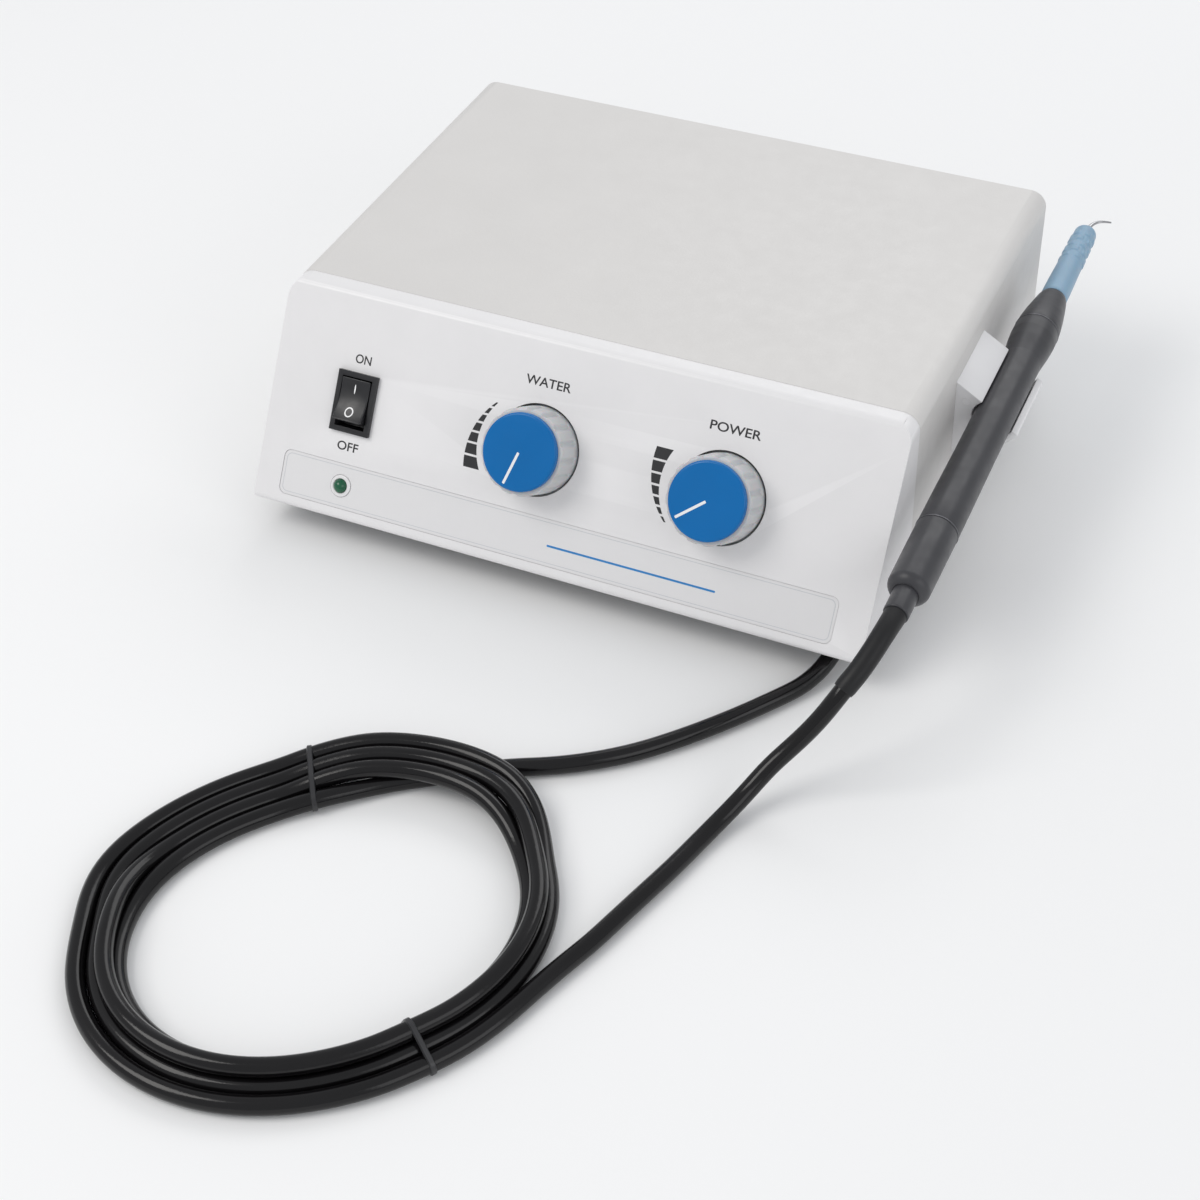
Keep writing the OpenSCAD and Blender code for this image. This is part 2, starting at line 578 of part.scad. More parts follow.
// Gland in the chassis wall, with a tapered boot that the hose comes out of.
gland_end = feed_route[0].y - box_y;
module hose_gland() color("black") placed() translate([gland_x, wall_y + pan_t, gland_z])
    rotate([90, 0, 0]) difference() {
        union() {
            translate([0, 0, -4]) cylinder(r = gland_r, h = 8);
            translate([0, 0, -4]) cylinder(r = gland_flange_r, h = 3.9);
            translate([0, 0, pan_t + slack]) cylinder(r = gland_flange_r, h = 3);
            translate([0, 0, 4]) cylinder(r1 = 5, r2 = 3.6, h = wall_y + pan_t - gland_end - 4);
        }
        translate([0, 0, -5]) cylinder(r = 1.5, h = 30);
    }

// Handpiece, turned about its own axis.
module turned(points) on_hand() rotate_extrude() polygon(points);

module handpiece_nose() color("dimgray") placed() turned([[6.1, nose_seam + 0.35], [7.7, nose_seam + 0.35],
    [7.5, 39], [6.9, 44], [6.1, 49], [5.3, 53.5], [5, 54.6], [4.7, nose_end], [3.9, nose_end], [3.9, 44],
    [5.6, 39]]);

module handpiece_barrel() color("dimgray") placed() turned([[5.6, tail_seam + 0.35],
    [7, tail_seam + 0.35], [6.9, -56], [6.72, -36], [waist_r, -30], [waist_r, 16], [7, 20], [7.5, 25],
    [7.8, 30], [7.75, nose_seam - 0.3], [5.6, nose_seam - 0.3]]);

module handpiece_tail() color("dimgray") placed() turned(concat([[5.6, tail_seam - 0.35],
    [5.6, tail_end + 5], [4.15, tail_end + 3], [4.15, tail_end], [2.9 + 1.5, tail_end]],
    arc([3.4, tail_end + 3.5], 3.5, 285, 360, 6), [[7, tail_seam - 0.35]]));

module seam_rings() color("silver") placed() {
    turned([[5.6, tail_seam - 0.3], [7.15, tail_seam - 0.3], [7.15, tail_seam + 0.3],
        [5.6, tail_seam + 0.3]]);
    turned([[6.1, nose_seam - 0.25], [7.8, nose_seam - 0.25], [7.8, nose_seam + 0.3],
        [6.1, nose_seam + 0.3]]);
}

module hose_spigot() color("dimgray") placed() turned([[1.6, spigot_end], [spigot_tip_r, spigot_end],
    [4.1, spigot_end + 0.4], [4.1, tail_end + 3.2], [1.6, tail_end + 3.2]]);

// The coil that drives the insert, wound on a bobbin in the barrel.
module coil_bobbin() color("ivory") placed() turned([[4.1, -42], [5.55, -42], [5.55, -40], [4.6, -40],
    [4.6, 26], [5.55, 26], [5.55, 28], [4.1, 28]]);
module coil_winding() color("chocolate") placed() turned([[4.65, -39.9], [5.4, -39.9], [5.4, 25.9],
    [4.65, 25.9]]);

// Insert: the tip in its grip, and the laminated stack that slides into the bobbin.
module insert_grip() color("lightsteelblue") placed() turned(concat([[1.2, nose_end + 0.4],
    [4.5, nose_end + 0.4], [4.7, nose_end + 1], [4.6, 66], [4.3, 82], [4.1, 94]],
    arc([1.6, grip_end - 2.6], 2.4, 10, 80, 5), [[1.2, grip_end]]));
module insert_shank() color("silver") placed() turned([[0, -60], [3.4, -60], [3.4, 16], [2, 18], [2, 46.9],
    [2.85, 46.9], [2.85, 50.1], [2, 50.1], [2, nose_end + 0.35], [1.15, nose_end + 0.35],
    [1.15, grip_end], [0, grip_end]]);
module insert_seal() color("black") placed() on_hand()
    rotate_extrude() translate([3.375, 48.5]) circle(0.47);
module insert_tip() color("silver") placed() translate([hand_x, hand_y, hand_z]) rotate([hand_tilt, 0, 0])
    sweep([for (p = tip_path) [p.x, grip_end + p.y, 0]], tip_r0, tip_r1, 10);

module hose_sleeve() color("black") sweep(sleeve_route, 3.4, 3.4, 10);
module hose_feed() color("black") sweep(feed_route, hose_d / 2, hose_d / 2, 10);
module hose_lead() color("black") sweep(lead_route, hose_d / 2, hose_d / 2, 10);
module hose_coil() color("black") translate([coil_centre.x, coil_centre.y, 0]) difference() {
    cylinder(r = coil_outer_r, h = coil_h, $fn = 96);
    translate([0, 0, -1]) cylinder(r = coil_inner_r, h = coil_h + 2, $fn = 96);
}

top_cover();
front_console();
label_plate();
base_pan();
rear_panel();
rubber_feet();
chassis_screws();
switch_housing();
rocker();
status_lamp();
control_bracket();
potentiometer();
power_shaft();
power_knob();
power_cap();
power_pointer();
water_knob();
water_cap();
water_pointer();
water_valve();
valve_spindle();
valve_needle();
board_standoffs();
circuit_board();
heat_sink();
power_transistors();
capacitors();
transformer_core();
transformer_winding();
mains_inlet();
inlet_pins();
fuse_drawer();
fuse_link();
footswitch_socket();
water_inlet();
solenoid_body();
solenoid_coil();
solenoid_plunger();
solenoid_spring();
water_tubes();
cradle();
cradle_screws();
hose_gland();
handpiece_nose();
handpiece_barrel();
handpiece_tail();
seam_rings();
hose_spigot();
coil_bobbin();
coil_winding();
insert_grip();
insert_shank();
insert_seal();
insert_tip();
hose_sleeve();
hose_feed();
hose_lead();
hose_coil();
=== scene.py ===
"""The looks of a desktop ultrasonic scaler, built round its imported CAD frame. Lengths are in metres."""

import json
import math

import bmesh
import bpy
from mathutils import Matrix, Vector


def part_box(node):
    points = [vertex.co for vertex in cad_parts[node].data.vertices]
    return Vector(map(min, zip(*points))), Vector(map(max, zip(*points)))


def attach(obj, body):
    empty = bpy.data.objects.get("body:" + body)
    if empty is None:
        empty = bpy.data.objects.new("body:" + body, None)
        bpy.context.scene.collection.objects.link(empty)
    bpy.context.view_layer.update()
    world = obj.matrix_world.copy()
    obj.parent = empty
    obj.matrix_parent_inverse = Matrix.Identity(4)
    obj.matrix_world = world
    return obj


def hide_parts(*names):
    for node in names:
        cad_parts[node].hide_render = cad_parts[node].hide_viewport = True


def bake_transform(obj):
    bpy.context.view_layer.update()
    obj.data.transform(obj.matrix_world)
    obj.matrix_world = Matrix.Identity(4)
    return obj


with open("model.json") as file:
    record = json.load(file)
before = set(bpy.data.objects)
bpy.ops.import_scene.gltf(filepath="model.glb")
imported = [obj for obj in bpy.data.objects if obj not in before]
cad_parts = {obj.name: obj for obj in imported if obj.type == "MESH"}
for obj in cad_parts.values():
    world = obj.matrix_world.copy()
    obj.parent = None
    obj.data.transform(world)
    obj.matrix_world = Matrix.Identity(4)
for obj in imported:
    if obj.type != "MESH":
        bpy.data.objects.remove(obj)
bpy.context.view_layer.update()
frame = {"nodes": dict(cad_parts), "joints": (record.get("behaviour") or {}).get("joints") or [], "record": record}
MM = 0.001
# Degrees: a mesh is shaded smooth except at edges sharper than this.
SHARP = 40
NODES = frame["nodes"]
JOINTS = {joint["name"]: joint for joint in frame["joints"]}
BODY_OF = {node: body for body, nodes in frame["record"]["behaviour"]["bodies"].items() for node in nodes}
SLOT_OF = {part["node"]: part["material_slot"] for part in frame["record"]["subparts"]}


# ---------------------------------------------------------------- camera, floor and light

# The roll is in degrees, the lens and the sensor in mm. The lamps face LIT_PLACE.
CAMERA_PLACE = Vector((0.250, -0.596, 0.499))
CAMERA_AIM = Vector((0.025, -0.130, 0.040))
CAMERA_ROLL = -2.0
CAMERA_LENS = 66.6
CAMERA_SENSOR = 36.0
FLOOR_REACH = 6.0
FLOOR_GREY = 0.9
SKY_COLOUR = (0.95, 0.97, 1.0)
SKY_STRENGTH = 0.62
LIT_PLACE = (0, -0.1, 0.04)


def make_camera():
    """A long lens from the front right, looking down on the box."""
    data = bpy.data.cameras.new("camera")
    data.lens = CAMERA_LENS
    data.sensor_width = CAMERA_SENSOR
    camera = bpy.data.objects.new("camera", data)
    turn = (CAMERA_AIM - CAMERA_PLACE).to_track_quat("-Z", "Y").to_matrix().to_4x4()
    roll = Matrix.Rotation(math.radians(CAMERA_ROLL), 4, "Z")
    camera.matrix_world = Matrix.Translation(CAMERA_PLACE) @ turn @ roll
    bpy.context.collection.objects.link(camera)
    bpy.context.scene.camera = camera


def mesh_object(name, points, faces):
    """A mesh from points in metres, smooth except at its sharp edges."""
    mesh = bpy.data.meshes.new(name)
    mesh.from_pydata([tuple(p) for p in points], [], faces)
    mesh.validate()
    work = bmesh.new()
    work.from_mesh(mesh)
    bmesh.ops.recalc_face_normals(work, faces=work.faces)
    work.to_mesh(mesh)
    work.free()
    mesh.shade_smooth()
    mesh.set_sharp_from_angle(angle=math.radians(SHARP))
    thing = bpy.data.objects.new(name, mesh)
    bpy.context.collection.objects.link(thing)
    return thing


def area_light(name, place, size, watts, colour=(1, 1, 1)):
    """A rectangular lamp that faces the object."""
    data = bpy.data.lights.new(name, "AREA")
    data.shape = "RECTANGLE"
    data.size, data.size_y = size
    data.energy = watts
    data.color = colour
    lamp = bpy.data.objects.new(name, data)
    lamp.location = place
    lamp.rotation_euler = (Vector(LIT_PLACE) - Vector(place)).to_track_quat("-Z", "Y").to_euler()
    bpy.context.collection.objects.link(lamp)


def make_studio():
    """A pale floor, a pale sky and three soft lamps."""
    corners = [(x * FLOOR_REACH, y * FLOOR_REACH, 0) for x, y in ((-1, -1), (1, -1), (1, 1), (-1, 1))]
    floor = mesh_object("floor", corners, [(0, 1, 2, 3)])
    paint = bpy.data.materials.new("floor_paint")
    paint.use_nodes = True
    shader = paint.node_tree.nodes["Principled BSDF"]
    shader.inputs["Base Color"].default_value = (FLOOR_GREY, FLOOR_GREY, FLOOR_GREY, 1)
    shader.inputs["Roughness"].default_value = 0.8
    floor.data.materials.append(paint)
    world = bpy.data.worlds.new("sky")
    world.use_nodes = True
    background = world.node_tree.nodes["Background"]
    background.inputs["Color"].default_value = (*SKY_COLOUR, 1)
    background.inputs["Strength"].default_value = SKY_STRENGTH
    bpy.context.scene.world = world
    bpy.context.scene.view_settings.view_transform = "Standard"
    area_light("key", (-0.75, -0.75, 1.25), (0.8, 0.8), 8.5, (1.0, 0.98, 0.95))
    area_light("fill", (1.2, -0.6, 0.7), (1.0, 0.8), 3)
    area_light("back", (0.1, 1.1, 1.0), (1.4, 0.6), 5)


make_camera()
make_studio()


# ---------------------------------------------------------------- paths and tubes

def metres(points):
    """Vectors in metres from points in mm."""
    return [Vector(p) * MM for p in points]


def smoothstep(x):
    """A soft ramp from 0 at x = 0 to 1 at x = 1, and flat outside."""
    x = min(1.0, max(0.0, x))
    return x * x * (3 - 2 * x)


def path_length(path):
    """The length of a path from point to point."""
    return sum((b - a).length for a, b in zip(path, path[1:]))


def smooth_path(points, spacing, passes=12):
    """A centripetal spline drawn from the points, then smoothed a number of times and evenly spaced."""
    p = [2 * points[0] - points[1]] + list(points) + [2 * points[-1] - points[-2]]
    dense = []
    for i in range(1, len(p) - 2):
        a, b, c, d = p[i - 1:i + 3]
        t1 = (b - a).length ** 0.5
        t2 = t1 + (c - b).length ** 0.5
        t3 = t2 + (d - c).length ** 0.5
        steps = max(2, int((c - b).length / spacing * 4))
        for k in range(steps):
            t = t1 + (t2 - t1) * k / steps
            a1 = a * (t1 - t) / t1 + b * t / t1
            a2 = b * (t2 - t) / (t2 - t1) + c * (t - t1) / (t2 - t1)
            a3 = c * (t3 - t) / (t3 - t2) + d * (t - t2) / (t3 - t2)
            b1 = a1 * (t2 - t) / t2 + a2 * t / t2
            b2 = a2 * (t3 - t) / (t3 - t1) + a3 * (t - t1) / (t3 - t1)
            dense.append(b1 * (t2 - t) / (t2 - t1) + b2 * (t - t1) / (t2 - t1))
    dense.append(p[-2])
    for _ in range(passes):
        inner = [(a + 2 * b + c) / 4 for a, b, c in zip(dense, dense[1:], dense[2:])]
        dense = [dense[0]] + inner + [dense[-1]]
    count = max(2, round(path_length(dense) / spacing))
    step = path_length(dense) / count
    path, walked = [dense[0].copy()], 0.0
    for a, b in zip(dense, dense[1:]):
        leg = (b - a).length
        while walked + leg >= step * len(path) - 1e-9 and len(path) < count:
            path.append(a.lerp(b, (step * len(path) - walked) / leg))
        walked += leg
    path.append(dense[-1].copy())
    return path


def tube(name, path, radius, sides=24):
    """A closed round tube along a path. radius is a number, or a function of the way along, 0 to 1."""
    size = radius if callable(radius) else (lambda along: radius)
    points, faces = [], []
    side = None
    last = len(path) - 1
    for i, here in enumerate(path):
        ahead = (path[min(i + 1, last)] - path[max(i - 1, 0)]).normalized()
        if side is None:
            side = ahead.orthogonal().normalized()
        side = (side - ahead * side.dot(ahead)).normalized()
        up = ahead.cross(side)
        r = size(i / last)
        for k in range(sides):
            turn = 2 * math.pi * k / sides
            points.append(here + r * (math.cos(turn) * side + math.sin(turn) * up))
    for i in range(last):
        for k in range(sides):
            a, b = i * sides + k, i * sides + (k + 1) % sides
            faces.append((a, b, b + sides, a + sides))
    faces.append(tuple(range(sides - 1, -1, -1)))
    faces.append(tuple(last * sides + k for k in range(sides)))
    return mesh_object(name, points, faces)


# ---------------------------------------------------------------- materials

# The middle part of a noise texture's values, which is stretched over a whole range.
NOISE_LOW, NOISE_HIGH = 0.3, 0.7
# The pointiness at which an edge starts to look worn, and at which it looks fully worn.
WORN_FROM, WORN_TO = 0.52, 0.62


def finish(name, colour, rough, metallic=0.0, grain=0.5, bump=0.1, mottle=0.03, stretch=(1, 1, 1),
           rough_spread=0.06, wear=0.0, **sockets):
    """A procedural finish. grain is the size of its texture in mm, mottle how far its colour wanders.

    wear lightens the edges by its share, and any other name is a socket of the shader.
    """
    material = bpy.data.materials.new(name)
    material.use_nodes = True
    tree = material.node_tree
    shader = tree.nodes["Principled BSDF"]
    shader.inputs["Metallic"].default_value = metallic
    for socket, value in sockets.items():
        shader.inputs[socket.replace("_", " ")].default_value = value
    place = tree.nodes.new("ShaderNodeTexCoord")
    mapping = tree.nodes.new("ShaderNodeMapping")
    mapping.inputs["Scale"].default_value = stretch
    tree.links.new(place.outputs["Object"], mapping.inputs["Vector"])

    def noise(size_mm, detail):
        texture = tree.nodes.new("ShaderNodeTexNoise")
        texture.inputs["Scale"].default_value = 1 / (size_mm * MM)
        texture.inputs["Detail"].default_value = detail
        tree.links.new(mapping.outputs["Vector"], texture.inputs["Vector"])
        return texture.outputs["Fac"]

    def spread(source, low, high):
        remap = tree.nodes.new("ShaderNodeMapRange")
        remap.inputs["From Min"].default_value = NOISE_LOW
        remap.inputs["From Max"].default_value = NOISE_HIGH
        remap.inputs["To Min"].default_value = low
        remap.inputs["To Max"].default_value = high
        tree.links.new(source, remap.inputs["Value"])
        return remap.outputs["Result"]

    patch, sheen = 14 * grain + 8, 4 * grain + 2
    mix = tree.nodes.new("ShaderNodeMix")
    mix.data_type = "RGBA"
    mix.inputs["A"].default_value = (*[c * (1 - mottle) for c in colour], 1)
    mix.inputs["B"].default_value = (*[min(1.0, c * (1 + mottle)) for c in colour], 1)
    tree.links.new(spread(noise(patch, 3), 0, 1), mix.inputs["Factor"])
    shade = mix.outputs["Result"]
    if wear:
        geometry = tree.nodes.new("ShaderNodeNewGeometry")
        edge = tree.nodes.new("ShaderNodeMapRange")
        edge.inputs["From Min"].default_value = WORN_FROM
        edge.inputs["From Max"].default_value = WORN_TO
        edge.inputs["To Max"].default_value = wear
        tree.links.new(geometry.outputs["Pointiness"], edge.inputs["Value"])
        worn = tree.nodes.new("ShaderNodeMix")
        worn.data_type = "RGBA"
        worn.inputs["B"].default_value = (*[min(1.0, c * 1.15 + 0.05) for c in colour], 1)
        tree.links.new(edge.outputs["Result"], worn.inputs["Factor"])
        tree.links.new(shade, worn.inputs["A"])
        shade = worn.outputs["Result"]
    tree.links.new(shade, shader.inputs["Base Color"])
    rough_low, rough_high = max(0.02, rough - rough_spread), min(1.0, rough + rough_spread)
    tree.links.new(spread(noise(sheen, 2), rough_low, rough_high), shader.inputs["Roughness"])
    relief = tree.nodes.new("ShaderNodeBump")
    relief.inputs["Strength"].default_value = bump
    relief.inputs["Distance"].default_value = 0.15 * grain * MM
    tree.links.new(noise(grain, 4), relief.inputs["Height"])
    tree.links.new(relief.outputs["Normal"], shader.inputs["Normal"])
    return material


LOOKS = {
    "cover_paint": dict(colour=(0.655, 0.64, 0.625), rough=0.45, grain=0.9, bump=0.5, mottle=0.012,
                        wear=0.15),
    "console_plastic": dict(colour=(0.785, 0.775, 0.78), rough=0.38, grain=0.5, bump=0.2, mottle=0.012,
                            wear=0.3),
    "label_film": dict(colour=(0.76, 0.752, 0.757), rough=0.33, grain=0.3, bump=0.06, mottle=0.004,
                       rough_spread=0.01),
    "zinc_sheet": dict(colour=(0.62, 0.63, 0.64), rough=0.36, metallic=1.0, grain=0.8, bump=0.15,
                       mottle=0.08, stretch=(1, 8, 1)),
    "black_plastic": dict(colour=(0.012, 0.012, 0.014), rough=0.34, grain=0.4, bump=0.12, mottle=0.2,
                          wear=0.25),
    "foot_rubber": dict(colour=(0.035, 0.035, 0.036), rough=0.75, grain=0.6, bump=0.3, mottle=0.15),
    "screw_steel": dict(colour=(0.6, 0.6, 0.6), rough=0.3, metallic=1.0, grain=0.4, bump=0.1, mottle=0.06),
    "lamp_green": dict(colour=(0.005, 0.09, 0.04), rough=0.14, grain=1.5, bump=0.03, mottle=0.3,
                       Specular_IOR_Level=0.5),
    "knob_grey": dict(colour=(0.55, 0.56, 0.57), rough=0.34, grain=0.5, bump=0.12, mottle=0.03, wear=0.4,
                      Subsurface_Weight=0.25, Subsurface_Scale=0.002),
    "knob_blue": dict(colour=(0.0, 0.14, 0.42), rough=0.2, grain=1.2, bump=0.03, mottle=0.04,
                      Specular_IOR_Level=0.3),
    "line_white": dict(colour=(0.88, 0.88, 0.88), rough=0.4, grain=0.3, bump=0.06, mottle=0.02),
    "brass": dict(colour=(0.66, 0.47, 0.19), rough=0.28, metallic=1.0, grain=0.5, bump=0.1, mottle=0.08),
    "board_green": dict(colour=(0.02, 0.14, 0.06), rough=0.35, grain=0.5, bump=0.2, mottle=0.15),
    "part_black": dict(colour=(0.03, 0.03, 0.032), rough=0.5, grain=0.5, bump=0.25, mottle=0.15, wear=0.2),
    "capacitor_sleeve": dict(colour=(0.03, 0.05, 0.16), rough=0.22, grain=1.0, bump=0.08, mottle=0.1),
    "sink_black": dict(colour=(0.06, 0.06, 0.065), rough=0.45, metallic=0.8, grain=0.6, bump=0.15,
                       stretch=(1, 6, 1)),
    "lamination": dict(colour=(0.25, 0.25, 0.26), rough=0.45, metallic=0.9, grain=0.5, bump=0.5,
                       stretch=(10, 1, 1)),
    "copper_wire": dict(colour=(0.62, 0.27, 0.12), rough=0.3, metallic=0.9, grain=0.6, bump=0.6,
                        stretch=(1, 1, 8)),
    "glass": dict(colour=(0.85, 0.9, 0.92), rough=0.06, grain=2.0, bump=0.02, Transmission_Weight=0.9),
    "clear_tube": dict(colour=(0.75, 0.8, 0.83), rough=0.15, grain=1.5, bump=0.05, Transmission_Weight=0.5),
    "cradle_plastic": dict(colour=(0.785, 0.778, 0.785), rough=0.36, grain=0.5, bump=0.18, mottle=0.015,
                           wear=0.3),
    "handpiece_grey": dict(colour=(0.046, 0.046, 0.051), rough=0.36, grain=0.35, bump=0.3, mottle=0.08,
                           wear=0.15, Specular_IOR_Level=0.4),
    "ring_metal": dict(colour=(0.13, 0.13, 0.14), rough=0.35, metallic=0.9, grain=0.3, bump=0.1),
    "grip_blue": dict(colour=(0.235, 0.375, 0.505), rough=0.4, grain=0.35, bump=0.15, mottle=0.03, wear=0.3,
                      Subsurface_Weight=0.1, Subsurface_Scale=0.001),
    "tip_steel": dict(colour=(0.42, 0.42, 0.43), rough=0.2, metallic=1.0, grain=0.3, bump=0.04,
                      mottle=0.03),
    "hose_black": dict(colour=(0.005, 0.0045, 0.005), rough=0.15, grain=1.6, bump=0.1, mottle=0.25,
                       rough_spread=0.04, Specular_IOR_Level=0.35),
    "sleeve_black": dict(colour=(0.012, 0.012, 0.013), rough=0.45, grain=0.8, bump=0.35, mottle=0.15,
                         Specular_IOR_Level=0.3),
    "spool_white": dict(colour=(0.75, 0.73, 0.68), rough=0.45, grain=0.5, bump=0.1),
    "print_black": dict(colour=(0.018, 0.018, 0.02), rough=0.45, grain=0.25, bump=0.1, mottle=0.15),
    "print_grey": dict(colour=(0.60, 0.61, 0.63), rough=0.4, grain=0.25, bump=0.1),
    "print_blue": dict(colour=(0.02, 0.22, 0.55), rough=0.4, grain=0.25, bump=0.1),
}
FINISHES = {name: finish(name, **look) for name, look in LOOKS.items()}


def dress(piece, slot, body, *nodes, look=None):
    """Gives a piece its finish and its body, and hides the CAD nodes that it stands for."""
    piece.data.materials.clear()
    piece.data.materials.append(FINISHES[look or slot])
    if body:
        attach(piece, body)
    if nodes:
        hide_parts(*nodes)
    return piece


for node_name, node_object in NODES.items():
    for material_slot in node_object.material_slots:
        material_slot.material = FINISHES[SLOT_OF[node_name]]


# ---------------------------------------------------------------- the hose

# Sizes and routes are in mm. LIE is the height of the hose's middle where it lies on the floor.
HOSE_R = 2.9
LIE = 3
FEED = [(91, -62, 23), (91, -69, 22), (91, -76, 18.5), (90.5, -83, 13), (89.5, -90, 7.5), (87.5, -97, 4.5),
        (84, -105, LIE), (79, -113, LIE), (70, -126, LIE), (59, -140, LIE), (47, -153, LIE),
        (36, -162, LIE), (25, -169, LIE), (13, -175, LIE)]
LEAD = [(65.5, -229, LIE), (69, -217, LIE), (72.5, -205, LIE), (76, -193, LIE), (79, -181, LIE),
        (82, -171, 4), (85, -163, 6), (88, -157, 9.5), (91, -152, 13.5), (95, -148, 18), (99, -144.5, 23),
        (103, -141, 29), (106.5, -137, 35.5)]
SLEEVE = [(107.3, -136, 37), (110, -131, 41), (112, -125, 44.5), (113.5, -118, 47.5), (114.3, -110.4, 48.5)]
# The feed's way under the turns, and the lead's way along the outside of the coil.
FEED_IN = [(2, -182, LIE), (-9, -189, LIE), (-20, -197, LIE)]
LEAD_OUT = [(47.5, -277, LIE), (54, -263, LIE), (58.5, -249, LIE), (62, -238.5, LIE)]

# The coil: oval turns, side by side near the first tie and heaped on each other elsewhere. Lengths are in mm
# and angles in degrees round the coil's centre.
COIL_CENTRE = (-9, -252)
COIL_START, COIL_END, COIL_STEP = 123, 1400, 8
# The radius that the coil starts with, how far the oval strays from it, and where the oval is longest.
COIL_R, COIL_OVAL, OVAL_ANGLE = 53.5, 6, 50
# From the middle of one strand to the middle of the next.
STRAND = 5.9
# Where the strands lie flat, and how steeply the heap leans once it is fully ramped.
FLAT_ANGLE, FLAT_HALF, HEAP_RAMP, HEAP_TILT = 125, 45, 40, 60
# Where the turns cross over the feed.
CROSSING, CROSSING_HALF, CROSSING_RAMP = 88, 15, 30
FIRST_CROSSING_TURN, HEAPED_TURN, OUTER_TURN = 0.5, 1, 3
# The angles of the two ties, and how they lift the strands.
TIES = (123, 328)
TIE_RAMP, TIE_LIFT = 14, 0.8


def angle_between(a, b):
    """The smaller angle between two directions, in degrees."""
    return abs((a - b + 180) % 360 - 180)


def coil_point(angle):
    """A point on the coil. After its first half turn it humps over the feed, and the ties lift it a little."""
    turns = (angle - COIL_START) / 360
    tilt = HEAP_TILT * smoothstep((angle_between(angle, FLAT_ANGLE) - FLAT_HALF) / HEAP_RAMP)
    pitch = STRAND * math.cos(math.radians(tilt))
    radius = COIL_R + COIL_OVAL * math.cos(math.radians(2 * (angle - OVAL_ANGLE))) + pitch * turns
    height = LIE
    if int(turns) == HEAPED_TURN:
        height += STRAND * math.sin(math.radians(tilt))
    if turns >= OUTER_TURN:
        radius += STRAND - pitch
    if turns > FIRST_CROSSING_TURN:
        away = (angle_between(angle, CROSSING) - CROSSING_HALF) / CROSSING_RAMP
        height += STRAND * (1 - smoothstep(away))
    height += max(TIE_LIFT * (1 - smoothstep(angle_between(angle, tie) / TIE_RAMP)) for tie in TIES)
    turn = math.radians(angle)
    return (COIL_CENTRE[0] + radius * math.cos(turn), COIL_CENTRE[1] + radius * math.sin(turn), height)


COIL = [coil_point(angle) for angle in range(COIL_START, COIL_END + 1, COIL_STEP)]
HOSE_POINTS = FEED + FEED_IN + COIL + LEAD_OUT + LEAD + SLEEVE[1:]
HOSE_PATH = smooth_path(metres(HOSE_POINTS), spacing=2.5 * MM, passes=60)

# The ties in mm: how thick and wide the band is, how far its edges slope in, and how far out it can reach.
TIE_THICK, TIE_HALF_WIDTH, TIE_SLOPE, TIE_REACH = 0.55, 0.95, 0.3, 72
# Points round each strand, from which the band's outline is drawn.
STRAND_SIDES = 48


def strands_at(centre, out, along):
    """The hose's crossings of a section of the coil, as (distance from the centre, height), inmost first."""
    spots = []
    for a, b in zip(HOSE_PATH, HOSE_PATH[1:]):
        before, after = (a - centre).dot(along), (b - centre).dot(along)
        if before * after <= 0 and before != after and (a - centre).dot(out) > 0:
            spot = a.lerp(b, before / (before - after)) - centre
            spots.append((spot.dot(out), spot.z))
    return sorted((spot for spot in spots if spot[0] < TIE_REACH * MM), key=lambda spot: spot[0])


def make_tie(name, tie):
    """A narrow band drawn round the strands at one angle of the coil."""
    turn = math.radians(tie)
    out = Vector((math.cos(turn), math.sin(turn), 0))
    along = Vector((-math.sin(turn), math.cos(turn), 0))
    centre = Vector((*COIL_CENTRE, 0)) * MM
    circle = [2 * math.pi * k / STRAND_SIDES for k in range(STRAND_SIDES)]
    rim = [(r + HOSE_R * MM * math.cos(a), z + HOSE_R * MM * math.sin(a))
           for r, z in strands_at(centre, out, along) for a in circle]
    hull = convex_outline(rim)
    middle = Vector((sum(p[0] for p in hull) / len(hull), sum(p[1] for p in hull) / len(hull)))
    thick, half, slope = TIE_THICK * MM, TIE_HALF_WIDTH * MM, TIE_SLOPE * MM
    section = [(-half, 0.0), (-half + slope, thick), (half - slope, thick), (half, 0.0)]
    points = []
    for i, p in enumerate(hull):
        before, after = hull[i - 1], hull[(i + 1) % len(hull)]
        tangent = Vector((after[0] - before[0], after[1] - before[1])).normalized()
        normal = Vector((tangent.y, -tangent.x))
        if normal.dot(Vector(p) - middle) < 0:
            normal = -normal
        for w, h in section:
            q = Vector(p) + normal * h
            points.append(centre + out * q.x + Vector((0, 0, max(q.y, 0.0))) + along * w)
    count = len(section)
    faces = []
    for i in range(len(hull)):
        here, following = i * count, (i + 1) % len(hull) * count
        for k in range(count):
            m = (k + 1) % count
            faces.append((here + k, here + m, following + m, following + k))
    return mesh_object(name, points, faces)


def convex_outline(points):
    """The points' convex outline, in order."""
    points = sorted(set(points))

    def chain(ordered):
        line = []
        for p in ordered:
            while len(line) > 1 and ((line[-1][0] - line[-2][0]) * (p[1] - line[-2][1])
                                     - (line[-1][1] - line[-2][1]) * (p[0] - line[-2][0])) <= 0:
                line.pop()
            line.append(p)
        return line[:-1]

    return chain(points) + chain(points[::-1])


# The sleeve's radius in mm, how much its first lip adds, and how much it has grown at the handpiece.
SLEEVE_R, SLEEVE_LIP, SLEEVE_FLARE = 3.25, 0.2, 0.25


